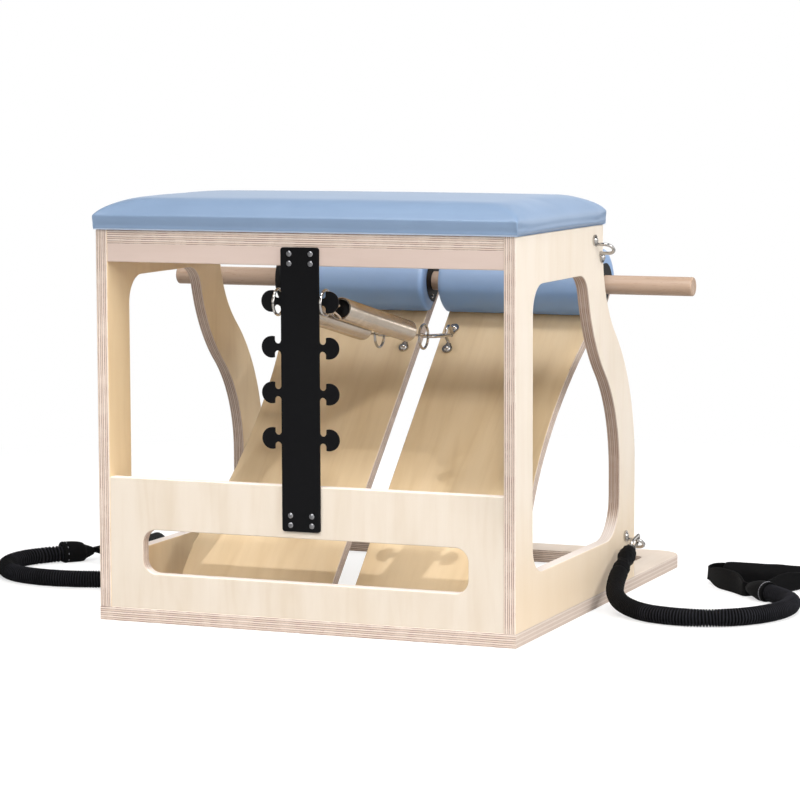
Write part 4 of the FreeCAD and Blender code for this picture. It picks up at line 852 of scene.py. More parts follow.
def corner_inset(from_edge, from_end):
    """How far the rim is drawn in at a rounded corner, at a distance from the edge and from its end."""
    corner = CUSHION_CORNER
    arc = corner - np.sqrt(np.maximum(corner ** 2 - (corner - from_end) ** 2, 0))
    rounded = np.where((from_edge < TINY) & (from_end < corner), arc, 0)
    return np.where((from_edge < TINY) & (from_end < TINY), corner * (1 - math.sqrt(0.5)), rounded)


def relaxed(vertices, faces, weight, rounds):
    """Vertices drawn towards the mean of their neighbours, each by its own weight."""
    pairs = {tuple(sorted(pair)) for face in faces for pair in zip(face, face[1:] + face[:1])}
    edges = np.array(sorted(pairs))
    count = np.bincount(edges.ravel(), minlength=len(vertices))[:, None]
    for _ in range(rounds):
        total = np.zeros_like(vertices)
        np.add.at(total, edges[:, 0], vertices[edges[:, 1]])
        np.add.at(total, edges[:, 1], vertices[edges[:, 0]])
        vertices = vertices + weight[:, None] * (total / count - vertices)
    return vertices


def make_cushion():
    """Seat cushion: straight wall, soft ridge, wide shoulder and a low crown."""
    low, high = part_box("seat_cushion")
    middle = (low + high) / 2
    half_x = (high.x - low.x) / 2
    half_y = (high.y - low.y) / 2
    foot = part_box("seat_board")[1].z + CUSHION_SEAT_GAP
    ridge = foot + CUSHION_WALL
    rise = high.z - ridge - CUSHION_CROWN
    xs, ys = spaced(half_x), spaced(half_y)
    nx, ny = len(xs), len(ys)
    gx, gy = np.meshgrid(xs, ys, indexing="ij")
    from_x = half_x - np.abs(gx)
    from_y = half_y - np.abs(gy)
    side_rise = shoulder_rise(from_x, half_x, rise, 0.0, CUSHION_SIDE_SHOULDER)
    rear_rise = shoulder_rise(from_y, half_y, rise, CUSHION_REAR_BAND, CUSHION_SHOULDER)
    up = soft_least(side_rise, rear_rise, CUSHION_HIP)
    draw_x = CUSHION_DRAW * (1 - (gy / half_y) ** 2) * (np.abs(gx) / half_x) ** CUSHION_DRAW_POWER
    draw_y = CUSHION_DRAW * (1 - (gx / half_x) ** 2) * (np.abs(gy) / half_y) ** CUSHION_DRAW_POWER
    inset_x = corner_inset(from_x, from_y) + draw_x
    inset_y = corner_inset(from_y, from_x) + draw_y
    px = middle.x + (1 + CUSHION_OVERHANG / half_x) * (gx - np.sign(gx) * inset_x)
    py = middle.y + (1 + CUSHION_OVERHANG / half_y) * (gy - np.sign(gy) * inset_y)
    top = np.stack([px, py, ridge + up], axis=-1).reshape(-1, 3)
    base = np.stack([px, py, np.full_like(px, foot)], axis=-1).reshape(-1, 3)

    # Wall: rows of points under the rim, from the ridge down
    loop = [(i, 0) for i in range(nx)]
    loop += [(nx - 1, j) for j in range(1, ny)]
    loop += [(i, ny - 1) for i in range(nx - 2, -1, -1)]
    loop += [(0, j) for j in range(ny - 2, 0, -1)]
    ids = [i * ny + j for i, j in loop]
    rim = top[ids]
    at_side = np.array([i in (0, nx - 1) for i, j in loop])
    at_end = np.array([j in (0, ny - 1) for i, j in loop])
    outward = np.sign(rim - np.array(middle)) * np.stack([at_side, at_end, np.zeros_like(at_side)], axis=1)
    outward /= np.linalg.norm(outward, axis=1)[:, None]
    rows = []
    for share in CUSHION_WALL_SHARES:
        row = rim + outward * (CUSHION_BULGE * math.sin(math.pi * share) - CUSHION_LEAN * share)
        row[:, 2] = foot + (rim[:, 2] - foot) * (1 - share)
        rows.append(row)
    base[ids] -= outward * CUSHION_LEAN
    vertices = np.vstack([top, *rows, base])
    count = len(ids)
    base_start = nx * ny + count * len(rows)
    faces = []
    for i in range(nx - 1):
        for j in range(ny - 1):
            quad = (i * ny + j, (i + 1) * ny + j, (i + 1) * ny + j + 1, i * ny + j + 1)
            faces.append(quad)
            faces.append(tuple(base_start + k for k in reversed(quad)))
    rings = [ids]
    rings += [[nx * ny + r * count + k for k in range(count)] for r in range(len(rows))]
    rings += [[base_start + k for k in ids]]
    for upper, lower in zip(rings, rings[1:]):
        for k in range(count):
            n = (k + 1) % count
            faces.append((upper[n], upper[k], lower[k], lower[n]))

    # Soft sides: the ridge relaxes away from the corners and the foot
    aside, behind = np.abs(vertices - np.array(middle))[:, :2].T
    beside = smooth_step(aside, *(half_x - inside for inside in CUSHION_RELAX_FROM_SIDE))
    beside *= smooth_step(half_y - behind, *CUSHION_RELAX_FROM_REAR)
    beside *= smooth_step(vertices[:, 2], *(foot + above for above in CUSHION_RELAX_FROM_FOOT))
    vertices = relaxed(vertices, faces, CUSHION_RELAX * beside, CUSHION_RELAX_ROUNDS)
    vertices[:, 0] += np.sign(vertices[:, 0] - middle.x) * CUSHION_SIDE_FULLNESS * beside
    piece = add_mesh("seat_cushion_cover", vertices, faces)
    pinned = list(range(base_start, len(vertices))) + rings[-2] + rings[-3] + rings[-4]
    inflate(piece, pinned, CUSHION_SWELL)
    ridge_pairs = list(zip(ids, ids[1:] + ids[:1]))
    set_crease(piece, [pair for pair, end in zip(ridge_pairs, at_end) if end], CUSHION_RIDGE_CREASE)
    set_crease(piece, zip(rings[-1], rings[-1][1:] + rings[-1][:1]), CUSHION_FOOT_CREASE)
    return subdivided(piece)


hinge = box_middle("hinge_pins")


def pedal_point(x, along, up):
    """Point given in the pedal's own axes: across, along the board and above the hinge line."""
    return Vector((
        x,
        hinge.y + along * math.cos(PEDAL_ANGLE) - up * math.sin(PEDAL_ANGLE),
        hinge.z + along * math.sin(PEDAL_ANGLE) + up * math.cos(PEDAL_ANGLE),
    ))


def pedal_mesh(name, sign, stack):
    """Mesh on a pedal from a closed loop of outlines, each with its place across."""
    vertices = [
        pedal_point(sign * place, PAD_CENTRE + along, BOARD_FACE + up)
        for place, outline in stack for along, up in outline
    ]
    faces = grid_faces(len(stack), len(stack[0][1]), looped=True)
    return add_mesh(name, vertices, [face[::-sign] for face in faces])


def arc_points(start, middle, end, steps):
    """Points on the circle through three plane points, without the last."""
    (ax, ay), (bx, by), (cx, cy) = start, middle, end
    a, b, c = (x * x + y * y for x, y in (start, middle, end))
    d = 2 * (ax * (by - cy) + bx * (cy - ay) + cx * (ay - by))
    ux = (a * (by - cy) + b * (cy - ay) + c * (ay - by)) / d
    uy = (a * (cx - bx) + b * (ax - cx) + c * (bx - ax)) / d
    radius = math.hypot(ax - ux, ay - uy)
    first, halfway, last = (math.atan2(y - uy, x - ux) for x, y in (start, middle, end))
    turn = (last - first) % TURN
    if (halfway - first) % TURN > turn:
        turn -= TURN
    angles = [first + turn * i / steps for i in range(steps)]
    return [(ux + radius * math.cos(angle), uy + radius * math.sin(angle)) for angle in angles]


def pad_profile():
    """Closed outline of a pad across the pedal: along the board and above it."""
    foot = (PAD_HALF + PAD_FOOT_OUT, PAD_FOOT_HEIGHT)
    belly = (PAD_HALF + PAD_BELLY, PAD_SIDE_HEIGHT / 2)
    shoulder = (PAD_HALF, PAD_SIDE_HEIGHT)
    low_foot, low_belly, low_shoulder = ((-along, up) for along, up in (foot, belly, shoulder))
    points = [(-PAD_HALF + inside, up) for inside, up in PAD_TUCK_LINE]
    points += arc_points(low_foot, low_belly, low_shoulder, PAD_SIDE_STEPS)
    points += arc_points(low_shoulder, (0, PAD_HEIGHT), shoulder, PAD_TOP_STEPS)
    points += arc_points(shoulder, belly, foot, PAD_SIDE_STEPS)
    points += [foot, *((PAD_HALF - inside, up) for inside, up in reversed(PAD_TUCK_LINE))]
    flat = PAD_HALF - PAD_TUCK
    points += [(flat - 2 * flat * i / PAD_SOLE_STEPS, PAD_SOLE) for i in range(1, PAD_SOLE_STEPS)]
    return np.array(points)


def drawn_in(outline, inset):
    """Pad outline drawn in from its rim."""
    return outline * (1 - inset / (PAD_HALF + PAD_BELLY), 1 - inset / PAD_HEIGHT)


def bore_ring(outline):
    """Round hole for the bar, with one point for each of the outline."""
    angles = np.arctan2(outline[:, 1] - DOWEL_ABOVE_BOARD, outline[:, 0])
    return np.stack([PAD_BORE * np.cos(angles), DOWEL_ABOVE_BOARD + PAD_BORE * np.sin(angles)], axis=1)


def make_pad(side):
    """Pedal pad: a half-round pillow with turned-in ends and a bore for the bar."""
    profile = pad_profile()
    count = len(profile)
    bore = bore_ring(profile)
    width = PAD_OUTER[side] - PAD_INNER
    rings = []
    for place in (*PAD_STEPS, width / 2, *(width - step for step in reversed(PAD_STEPS))):
        depth = max(PAD_RIM - min(place, width - place), 0)
        rings.append((PAD_INNER + place, drawn_in(profile, PAD_RIM - math.sqrt(PAD_RIM ** 2 - depth ** 2))))
    first_end, last_end = (
        [(place, outline * (1 - share) + bore * share) for share in PAD_END_SHARES]
        for place, outline in (rings[0], rings[-1])
    )
    tunnel = [(PAD_INNER + width * share, bore) for share in PAD_TUNNEL_SHARES]
    piece = pedal_mesh(side + "_pad_cover", SIDES[side], rings + last_end + tunnel + first_end[::-1])
    last_ring = (len(rings) - 1) * count
    flat = [j for j in range(count) if profile[j][1] < PAD_FLAT_HEIGHT]
    pinned = [i * count + j for i in range(len(rings)) for j in flat]
    pinned += [*range(last_ring + count, len(piece.data.vertices)), *range(count)]
    pinned += range(last_ring, last_ring + count)
    inflate(piece, pinned, PAD_SWELL)
    foot = (PAD_HALF - PAD_TUCK, PAD_SOLE)
    feet = [j for j in range(count) if np.allclose((abs(profile[j][0]), profile[j][1]), foot, 0, TINY)]
    pairs = [(start + j, start + count + j) for start in range(0, last_ring, count) for j in feet]
    set_crease(piece, pairs, PAD_FOOT_CREASE)
    return subdivided(piece)


def make_pad_block(side):
    """Black end block between a pad's outer end and its outer cap, with the pad's outline drawn in."""
    lift = np.array((0, BLOCK_LIFT))
    outline = drawn_in(pad_profile(), BLOCK_INSET)
    soft_outline = outline * (1 - BLOCK_SOFT_DRAW / PAD_HALF)
    bore = bore_ring(outline + lift)
    start, end = PAD_OUTER[side] - BLOCK_LAP, PEDAL_OUTER - BLOCK_CAP_GAP
    stack = [
        (start, outline + lift),
        (PEDAL_OUTER - BLOCK_SOFT, outline + lift),
        (end, soft_outline + lift),
        (end, bore),
        (start, bore),
    ]
    return pedal_mesh(side + "_pad_end_block", SIDES[side], stack)


cushion = make_cushion()
pads = {side: make_pad(side) for side in SIDES}
pad_block = make_pad_block("left")


# Materials

class Value:
    """Output of a node, which further nodes reckon with."""

    def __init__(self, graph, socket):
        self.graph = graph
        self.socket = socket

    def math(self, operation, other=0.0):
        return self.graph.value("ShaderNodeMath", {0: self, 1: other}, operation=operation)

    def __add__(self, other):
        return self.math("ADD", other)

    def __sub__(self, other):
        return self.math("SUBTRACT", other)

    def __mul__(self, other):
        return self.math("MULTIPLY", other)

    def __truediv__(self, other):
        return self.math("DIVIDE", other)

    def __abs__(self):
        return self.math("ABSOLUTE")

    def along(self, axis):
        """Measure of a vector along an axis."""
        inputs = {0: self, 1: tuple(axis)}
        return self.graph.value("ShaderNodeVectorMath", inputs, "Value", operation="DOT_PRODUCT")

    def scaled(self, scale):
        return self.graph.value("ShaderNodeVectorMath", {0: self, 1: scale}, operation="MULTIPLY")

    def noise(self, scale, detail, rough):
        """Soft noise at the places that a vector gives."""
        inputs = {"Vector": self, "Scale": scale, "Detail": detail, "Roughness": rough}
        return self.graph.value("ShaderNodeTexNoise", inputs, "Fac")

    def ramp(self, low, high, start=0.0, end=1.0):
        """Smooth change from start to end as a value goes from low to high."""
        inputs = {"Value": self, "From Min": low, "From Max": high, "To Min": start, "To Max": end}
        return self.graph.value("ShaderNodeMapRange", inputs, interpolation_type="SMOOTHSTEP")


class Graph:
    """Node tree of a material or the world."""

    def __init__(self, owner, output):
        owner.use_nodes = True
        self.tree = owner.node_tree
        self.tree.nodes.clear()
        self.output = self.add(output)

    def add(self, kind, inputs=None, **settings):
        node = self.tree.nodes.new(kind)
        assign(node, **settings)
        for key, value in (inputs or {}).items():
            self.put(node.inputs[key], value)
        return node

    def put(self, socket, value):
        """Link a value to a socket, or set a constant on it."""
        if isinstance(value, Value):
            self.tree.links.new(value.socket, socket)
        else:
            socket.default_value = value

    def value(self, kind, inputs=None, output=0, **settings):
        return Value(self, self.add(kind, inputs, **settings).outputs[output])

    def vector(self, x, y, z):
        return self.value("ShaderNodeCombineXYZ", {0: x, 1: y, 2: z})

    def mix(self, share, first, second):
        inputs = {"Factor": share, "A": first, "B": second}
        return self.value("ShaderNodeMix", inputs, "Result", data_type="RGBA")

    def mix_shaders(self, share, first, second):
        return self.value("ShaderNodeMixShader", {0: share, 1: first, 2: second})

    def any_ray(self, first, *others):
        """1 for the named kinds of ray."""
        path = self.add("ShaderNodeLightPath").outputs
        total = Value(self, path[first])
        for name in others:
            total = total.math("MAXIMUM", Value(self, path[name]))
        return total

    def finish(self, surface):
        self.put(self.output.inputs["Surface"], surface)


class Surface(Graph):
    """Material with one Principled shader."""

    def __init__(self, name):
        self.material = bpy.data.materials.new(name)
        super().__init__(self.material, "ShaderNodeOutputMaterial")
        self.shader = self.add("ShaderNodeBsdfPrincipled")
        self.finish(Value(self, self.shader.outputs[0]))
        place = self.add("ShaderNodeTexCoord").outputs
        self.point = Value(self, place["Object"])
        self.normal = Value(self, place["Normal"])

    def bump(self, height, strength, distance):
        inputs = {"Height": height, "Strength": strength, "Distance": distance}
        self.set(Normal=self.value("ShaderNodeBump", inputs))

    def set(self, **values):
        for key, value in values.items():
            self.put(self.shader.inputs[key.replace("_", " ")], value)


def colour(red, green, blue):
    """Linear colour from display values of 0 to 255."""
    def linear(value):
        value /= 255
        return value / 12.92 if value <= 0.04045 else ((value + 0.055) / 1.055) ** 2.4
    return (linear(red), linear(green), linear(blue), 1.0)


# Plywood: pale and deep veneer with its figure, and the edges
PANEL_TONES = (colour(233, 221, 206), colour(228, 214, 196), colour(210, 187, 158))
REAR_TONES = (colour(217, 205, 190), colour(211, 197, 179), colour(193, 171, 143))
BASE_TONES = (colour(230, 215, 200), colour(224, 207, 190), colour(206, 182, 158))
# Painted shade: the rail's veneer is darker and pinker than the panels', for the shade of a rail that the key light
# misses
RAIL_SHADE_TONES = (colour(208, 188, 177), colour(202, 181, 169), colour(184, 158, 142))
# Painted shade: warmer, deeper veneer for the boards inside the frame and for the pedals, for their shade and the
# warm light bounced between the boards
INNER_SHADE_TONES = (colour(234, 209, 170), colour(227, 200, 159), colour(206, 173, 128))
PEDAL_SHADE_TONES = (colour(227, 204, 168), colour(218, 193, 154), colour(194, 162, 120))
PEDAL_FIGURE = 0.16
PANEL_FOOT_SHADE_TONE = colour(234, 209, 175)
LAYER_TONES = (colour(222, 207, 195), colour(205, 185, 170))
GRIT_TONE = colour(190, 160, 138)
GLUE_TONE = colour(128, 98, 84)
INNER_EDGE_SHADE_TONE = colour(132, 104, 86)
TOP_EDGE_HIGHLIGHT_TONE = colour(236, 226, 219)
PLY_PITCH = 0.003
INNER_EDGE_SHADE_START = (-0.388, -0.380)

# Boards: thickness and grain axes, tones, strength of the figure, painted warm shade at the foot, painted shade on
# the inner edges, calm side edges
BOARDS = {
    "right_side_panel": (X_AXIS, Z_AXIS, PANEL_TONES, 0.08, 0.7, 0.45, 0.0),
    "left_side_panel": (X_AXIS, Z_AXIS, INNER_SHADE_TONES, 0.12, 0.0, 0.2, 0.0),
    "rear_lower_panel": (Y_AXIS, Z_AXIS, REAR_TONES, 0.14, 0.0, 0.0, 0.0),
    "seat_rail": (Y_AXIS, X_AXIS, RAIL_SHADE_TONES, 0.10, 0.0, 0.0, 0.0),
    "base_board": (Z_AXIS, Y_AXIS, BASE_TONES, 0.10, 0.0, 0.0, 0.8),
    "seat_board": (Z_AXIS, X_AXIS, INNER_SHADE_TONES, 0.12, 0.0, 0.0, 0.0),
    "cushion_board": (Z_AXIS, X_AXIS, INNER_SHADE_TONES, 0.12, 0.0, 0.0, 0.0),
}


# foot and inner are the strengths of the painted shade at the foot and on the inner edges
def ply_material(name, middle, thick_axis, grain_axis, tones, figure, foot=0.0, inner=0.0, calm=0.0):
    """Lacquered birch plywood: pale veneer on the faces, thin glue lines on the edges, painted shade at the foot
    and on inner edges, and a painted highlight on edges that face up.
    """
    graph = Surface(name)
    point, normal = graph.point, graph.normal
    along = point.along(grain_axis)
    across = point.along(thick_axis.cross(grain_axis))
    depth = point.along(thick_axis) - middle
    edge = abs(normal.along(thick_axis)).ramp(0.80, 0.62)
    pale, deep, line_tone = tones

    # Veneer: broad tone, flame figure, streaks and fine pores
    tone = graph.vector(along, across * 6.0, depth).noise(3.0, 4.0, 0.55)
    bend = graph.vector(along * 1.6, across * 7.0, depth).noise(1.4, 2.0, 0.5)
    rings = ((across + bend * 0.16) * 260.0).math("SINE")
    flame = rings.ramp(-0.3, 1.0) * tone.ramp(0.35, 0.65)
    pores = graph.vector(along * 0.05, across, depth).noise(1500.0, 2.0, 0.6)
    streak = graph.vector(along * 0.03, across, depth).noise(160.0, 3.0, 0.6)
    veneer = graph.mix(tone.ramp(0.32, 0.70), pale, deep)
    veneer = graph.mix(flame * figure, veneer, line_tone)
    veneer = graph.mix(streak.ramp(0.50, 0.75, 0.0, 0.5 * figure), veneer, line_tone)
    veneer = graph.mix(pores.ramp(0.56, 0.80, 0.0, 0.12), veneer, line_tone)
    # Painted shade: warmer, darker veneer towards the floor, where the light falls off
    veneer = graph.mix(point.along(Z_AXIS).ramp(0.24, 0.02, 0.0, foot), veneer, PANEL_FOOT_SHADE_TONE)

    # Edge: layers with dark glue lines and end grain
    rub = point.noise(55.0, 3.0, 0.6)
    layer = (depth + (rub - 0.5) * 0.0011) / PLY_PITCH
    line = abs(layer - layer.math("ROUND")).ramp(0.22, 0.07)
    parity = (layer + 1000.0).math("FLOOR").math("MODULO", 2.0)
    wood = graph.mix(parity * 0.8, *LAYER_TONES)
    wood = graph.mix(point.noise(700.0, 2.0, 0.6).ramp(0.50, 0.75, 0.0, 0.35), wood, GRIT_TONE)
    sideways = abs(normal.along(X_AXIS)).ramp(0.55, 0.85, 1.0, 1.0 - calm)
    wood = graph.mix(line * rub.ramp(0.30, 0.62, 0.45, 1.0) * sideways, wood, GLUE_TONE)

    # Painted shade on edges inside the frame that do not face up, and a painted highlight on edges that face up
    upward = normal.along(Z_AXIS)
    inside = point.along(Y_AXIS).ramp(*INNER_EDGE_SHADE_START, 0.0, inner) * upward.ramp(0.6, 0.2)
    wood = graph.mix(inside, wood, INNER_EDGE_SHADE_TONE)
    wood = graph.mix(upward.ramp(0.4, 0.85, 0.0, 0.8), wood, TOP_EDGE_HIGHLIGHT_TONE)

    graph.set(Base_Color=graph.mix(edge, veneer, wood), Roughness=pores * 0.10 + 0.42 + edge * 0.18)
    graph.bump(pores * 0.35 + line * edge * -0.8, 0.25, 0.00025)
    graph.set(Specular_IOR_Level=0.38, Coat_Weight=0.08, Coat_Roughness=0.35)
    return graph.material


def beech_material():
    """Sanded hardwood bar with short dark flecks along it."""
    graph = Surface("beech_wood")
    tone = graph.point.scaled((1.5, 22, 22)).noise(2.0, 4.0, 0.55)
    streak = graph.point.scaled((3, 190, 190)).noise(1.0, 3.0, 0.6)
    fleck = graph.point.scaled((90, 900, 900)).noise(1.0, 1.0, 0.5)
    wood = graph.mix(tone.ramp(0.30, 0.70), colour(187, 163, 144), colour(173, 147, 126))
    wood = graph.mix(streak.ramp(0.45, 0.75, 0.0, 0.45), wood, colour(160, 128, 102))
    wood = graph.mix(fleck.ramp(0.64, 0.74, 0.0, 0.40), wood, colour(138, 102, 76))
    graph.set(Base_Color=wood, Roughness=streak * 0.12 + 0.42, Specular_IOR_Level=0.40)
    graph.bump(streak + fleck * -0.6, 0.18, 0.0002)
    return graph.material


def vinyl_material(name, light, dark, under=None, foot_gap_shade=None):
    """Upholstery vinyl with a pebbled grain, a pale line painted as a highlight at the cushion's foot, a dark line
    painted as shade at the pad's, and down-facing parts painted bluer.
    """
    graph = Surface(name)
    point, normal = graph.point, graph.normal
    cell_inputs = {"Vector": point, "Scale": 620.0, "Randomness": 0.9}
    cells = graph.value("ShaderNodeTexVoronoi", cell_inputs, "Distance")
    fine = point.noise(1900.0, 2.0, 0.6)
    base = graph.mix(point.noise(9.0, 3.0, 0.5).ramp(0.3, 0.7), light, dark)
    base = graph.mix(cells.ramp(0.10, 0.0, 0.0, 0.25), base, colour(106, 128, 158))
    height = point.along(Z_AXIS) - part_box("seat_board")[1].z
    # Painted highlight: a pale line along the foot of the cushion's front and rear walls
    hem = height.ramp(0.0022, 0.0014) * height.ramp(-0.002, -0.001) * abs(normal.along(Y_AXIS)).ramp(0.5, 0.8)
    # Painted light: down-facing parts are painted bluer to offset the warm light bounced onto them from the pedal
    if under is not None:
        base = graph.mix(normal.along(Z_AXIS).ramp(0.45, -0.45), base, under)
    # Painted shade: a dark line along the pad's foot, in the gap where it meets the board
    if foot_gap_shade is not None:
        axis, start = foot_gap_shade
        base = graph.mix((point.along(axis) - start).ramp(0.0040, 0.0018, 0.0, 0.85), base, colour(38, 40, 46))
    graph.set(Base_Color=graph.mix(hem, base, colour(206, 216, 230)), Roughness=fine * 0.12 + 0.32)
    graph.bump(cells.ramp(0.05, 0.75) + fine * 0.35, 0.14, 0.0002)
    graph.set(Specular_IOR_Level=0.7)
    return graph.material


def black_material(name, grain, cloud, tones, rough, spread, relief, specular):
    """Black surface with a fine grain, such as the orange peel of powder coat or a moulded spark texture."""
    graph = Surface(name)
    fine = graph.point.noise(*grain)
    graph.set(Base_Color=graph.mix(graph.point.noise(*cloud), *tones))
    graph.set(Roughness=fine * spread + rough, Specular_IOR_Level=specular)
    graph.bump(fine, relief, 0.00015)
    return graph.material


def metal_material(name, tint, rough, spread, scratch):
    """Plated steel with slight smears in its polish."""
    graph = Surface(name)
    smear = graph.point.noise(60.0, 4.0, 0.6)
    hair = graph.point.scaled((1, 1, 6)).noise(900.0, 2.0, 0.6)
    darker = (*(0.86 * value for value in tint), 1.0)
    graph.set(Base_Color=graph.mix(smear.ramp(0.3, 0.75), (*tint, 1.0), darker))
    graph.set(Roughness=smear * spread + rough, Metallic=1.0)
    graph.bump(hair, scratch, 0.00005)
    return graph.material


def fabric_material(name, light, dark, thread, sheen, ribbed=False):
    """Black woven nylon: crossing threads, soft sheen and a little lint."""
    graph = Surface(name)
    x, y, z = (Value(graph, socket) for socket in graph.add("ShaderNodeSeparateXYZ", {0: graph.point}).outputs)
    warp = ((x + z * 0.6) * thread).math("SINE")
    weft = ((y - z * 0.6) * thread).math("SINE")
    weave = (warp * weft + 1.0) * 0.5
    lint = graph.point.noise(420.0, 4.0, 0.65)
    lint_tone = (*(1.8 * value for value in light[:3]), 1.0)
    base = graph.mix(weave, dark, light)
    base = graph.mix(lint.ramp(0.58, 0.85, 0.0, 0.3), base, lint_tone)
    base = graph.mix(graph.point.noise(40.0, 3.0, 0.5) * 0.3, base, dark)
    if ribbed:
        # Painted highlight: the crests of the deep ribs are painted paler
        crest = graph.value("ShaderNodeAttribute", None, "Fac", attribute_name="rib_crest_highlight")
        base = graph.mix(crest.ramp(0.55, 1.0, 0.0, 0.5), base, colour(46, 46, 53))
    graph.set(Base_Color=base, Roughness=lint * 0.2 + 0.68)
    graph.bump(weave + lint * 0.5, 0.35, 0.0003)
    graph.set(Sheen_Weight=sheen, Sheen_Roughness=0.5, Specular_IOR_Level=0.14)
    return graph.material


pedal_normal = Vector((0, -math.sin(PEDAL_ANGLE), math.cos(PEDAL_ANGLE)))
pedal_length = Vector((0, math.cos(PEDAL_ANGLE), math.sin(PEDAL_ANGLE)))
pedal_face = hinge.dot(pedal_normal) + BOARD_FACE
board_materials = {
    node: ply_material(node + "_ply", box_middle(node).dot(board[0]), *board) for node, board in BOARDS.items()
}
pedal_middle = pedal_face - PEDAL_THICK / 2
pedal_ply = ply_material("pedal_ply", pedal_middle, pedal_normal, pedal_length, PEDAL_SHADE_TONES, PEDAL_FIGURE)
for side in SIDES:
    board_materials[side + "_pedal_board"] = pedal_ply
    board_materials[side + "_pad_core"] = pedal_ply

beech = beech_material()
vinyl = vinyl_material("blue_vinyl_grain", colour(127, 149, 177), colour(122, 144, 172))
# The pads' vinyl is a bluer copy of the cushion's, painted to offset the warm light bounced from the pedals
pad_vinyl = vinyl_material(
    "blue_pad_vinyl", colour(144, 168, 201), colour(138, 162, 196),
    under=colour(128, 166, 215), foot_gap_shade=(pedal_normal, pedal_face))
black_steel = black_material(
    "black_powder_coat", (850.0, 3.0, 0.55), (14.0, 3.0, 0.5), (colour(5, 5, 7), colour(9, 9, 11)),
    rough=0.40, spread=0.16, relief=0.14, specular=0.11)
chrome = metal_material("bright_chrome", (0.52, 0.50, 0.48), 0.05, 0.10, 0.04)
spring_steel = metal_material("spring_steel", (0.62, 0.55, 0.47), 0.14, 0.10, 0.04)
zinc = metal_material("zinc_plate", (0.25, 0.25, 0.26), 0.24, 0.16, 0.10)
plastic = black_material(
    "black_moulded_plastic", (1300.0, 2.0, 0.6), (25.0, 2.0, 0.5), (colour(7, 7, 8), colour(11, 11, 12)),
    rough=0.42, spread=0.2, relief=0.2, specular=0.22)
sleeve_fabric = fabric_material("black_sleeve_fabric", colour(9, 9, 11), colour(3, 3, 4), 7000.0, 0.01)
ribbed_fabric = fabric_material("black_ribbed_sleeve", colour(6, 6, 8), colour(2, 2, 3), 7000.0, 0.01, True)
webbing_fabric = fabric_material("black_webbing", colour(9, 9, 10), colour(3, 3, 4), 4200.0, 0.01)
thread = fabric_material("pale_thread", colour(160, 160, 165), colour(124, 124, 130), 9000.0, 0.05)
slot_materials = {
    "birch_ply": pedal_ply,
    "beech": beech,
    "blue_vinyl": vinyl,
    "black_steel": black_steel,
    "chrome": chrome,
    "zinc_steel": zinc,
    "black_plastic": plastic,
    "black_fabric": sleeve_fabric,
}


def dress_nodes():
    """Give every CAD node its procedural material."""
    for part in frame["record"]["subparts"]:
        node = frame["nodes"][part["node"]]
        material = board_materials.get(part["node"], slot_materials[part["material_slot"]])
        if not node.material_slots:
            node.data.materials.append(material)
        for slot in node.material_slots:
            slot.material = material


def dress(piece, material):
    piece.data.materials.clear()
    piece.data.materials.append(material)


# What each piece wears, rides on and stands for
dress_nodes()
dress(cushion, vinyl)
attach(cushion, "frame")
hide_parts("seat_cushion")
dress(pad_block, plastic)
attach(pad_block, "left_pedal")
for side in SIDES:
    dress(springs[side], spring_steel)
    # The dark rod in each coil is black as painted shade
    dress(spring_shade_cores[side], plastic)
    dress(pads[side], pad_vinyl)
    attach(pads[side], side + "_pedal")
    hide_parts(side + "_pad")
    for piece, material, node in (
        (cords[side], ribbed_fabric, "_cord"),
        (cord_cuffs[side], sleeve_fabric, "_cord_cuff"),
        (handle_cuffs[side], webbing_fabric, "_handle_cuff"),
        (straps[side], webbing_fabric, "_handle_strap"),
        (grips[side], sleeve_fabric, "_handle_grip"),
    ):
        dress(piece, material)
        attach(piece, "frame")
        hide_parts(side + node)
    for piece, material, slot in ((bails[side], chrome, "chrome"), (stitches[side], thread, "black_fabric")):
        dress(piece, material)
        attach(piece, "frame")


# Stage: pale floor, white surround and soft lamps

FLOOR_SIZE = 30.0
FLOOR_LEVEL = -0.0002
FLOOR_FADE = (1.1, 2.0)
FLOOR_GLOW = 0.60
FLOOR_SHARE = 0.48
FLOOR_BOUNCE = 0.56
AMBIENT = 0.27
WHITE = 1.0
MIRRORED_CEILING = 0.20
MIRRORED_WALL = 1.3
WALL_HEIGHT = (0.16, 0.46)
SHOWN_RAYS = ("Is Camera Ray", "Is Transmission Ray")
# Soft boxes: place, target, width, height, power and whether gloss shows them
SOFT_BOXES = {
    "overhead_box": ((0.1, -0.78, 3.20), (0.0, -0.1, 0.5), 2.6, 0.5, 36, True),
    "front_box": ((0.5, 2.6, 2.6), (0.0, 0.1, 0.3), 2.0, 0.8, 46, False),
    "rear_box": ((0.3, -2.25, 3.10), (0.0, -0.1, 0.2), 1.6, 0.7, 50, True),
    "right_box": ((3.4, -0.9, 2.0), (0.0, 0.0, 0.3), 2.0, 2.4, 88, True),
    "fill_lamp": ((1.59, -3.78, 2.36), (0.1, -0.1, 0.25), 0.25, 0.25, 48, False),
}
KEY_PLACE = (-1.353, -2.989, 2.865)
KEY_TARGET = (-0.05, -0.39, -0.13)
KEY_CONE = 14.0
KEY_EDGE = 0.35
KEY_RADIUS = 0.04
KEY_POWER = 242


def grey(level):
    return (level, level, level, 1.0)


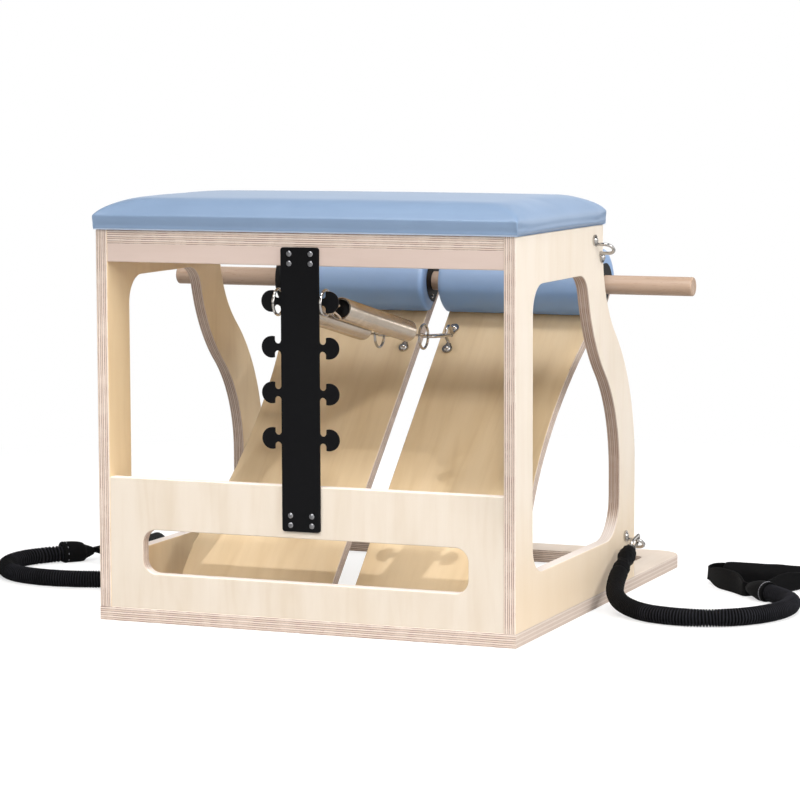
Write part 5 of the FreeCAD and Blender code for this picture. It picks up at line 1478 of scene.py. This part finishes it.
def make_floor():
    """White floor that keeps the shadow near the object and fades into the surround."""
    half = FLOOR_SIZE / 2
    floor = add_mesh("floor", [(half * a, half * b, 0) for a, b in SQUARE], [(0, 1, 2, 3)])
    floor.location.z = FLOOR_LEVEL
    material = bpy.data.materials.new("pale_floor")
    graph = Graph(material, "ShaderNodeOutputMaterial")
    lit = graph.value("ShaderNodeBsdfDiffuse", {"Color": grey(FLOOR_SHARE)})
    glow = graph.value("ShaderNodeEmission", {"Strength": FLOOR_GLOW})
    near = graph.value("ShaderNodeAddShader", {0: lit, 1: glow})
    bounce = graph.value("ShaderNodeBsdfDiffuse", {"Color": grey(FLOOR_BOUNCE)})
    white = graph.value("ShaderNodeEmission", {"Strength": WHITE})
    place = graph.value("ShaderNodeTexCoord", None, "Object")
    length = graph.value("ShaderNodeVectorMath", {0: place}, "Value", operation="LENGTH")
    seen = graph.mix_shaders(length.ramp(*FLOOR_FADE), near, white)
    graph.finish(graph.mix_shaders(graph.any_ray(*SHOWN_RAYS), bounce, seen))
    floor.data.materials.append(material)


def make_world():
    """White surround for the camera, a dimmer room in reflections and a soft ambient light."""
    world = bpy.data.worlds.new("studio")
    scene.world = world
    graph = Graph(world, "ShaderNodeOutputWorld")
    place = graph.value("ShaderNodeTexCoord", None, "Generated")
    height = graph.value("ShaderNodeSeparateXYZ", {0: place}, "Z")
    wall = height.ramp(*WALL_HEIGHT, MIRRORED_WALL, MIRRORED_CEILING)
    ambient, mirrored, white = (
        graph.value("ShaderNodeBackground", {"Color": grey(WHITE), "Strength": strength})
        for strength in (AMBIENT, wall, WHITE)
    )
    shown = graph.mix_shaders(graph.any_ray("Is Glossy Ray"), ambient, mirrored)
    graph.finish(graph.mix_shaders(graph.any_ray(*SHOWN_RAYS), shown, white))


def add_lamp(name, kind, place, target, power, **settings):
    """Lamp aimed at a point."""
    data = bpy.data.lights.new(name, kind)
    assign(data, energy=power, **settings)
    lamp = add_object(name, data)
    lamp.location = place
    lamp.rotation_euler = (Vector(target) - Vector(place)).to_track_quat("-Z", "Y").to_euler()
    return lamp


make_floor()
make_world()
for name, (place, target, width, height, power, glossy) in SOFT_BOXES.items():
    lamp = add_lamp(name, "AREA", place, target, power, shape="RECTANGLE", size=width, size_y=height)
    lamp.visible_glossy = glossy
add_lamp(
    "key_lamp", "SPOT", KEY_PLACE, KEY_TARGET, KEY_POWER,
    spot_size=math.radians(KEY_CONE), spot_blend=KEY_EDGE, shadow_soft_size=KEY_RADIUS)

scene.view_settings.view_transform = "Standard"
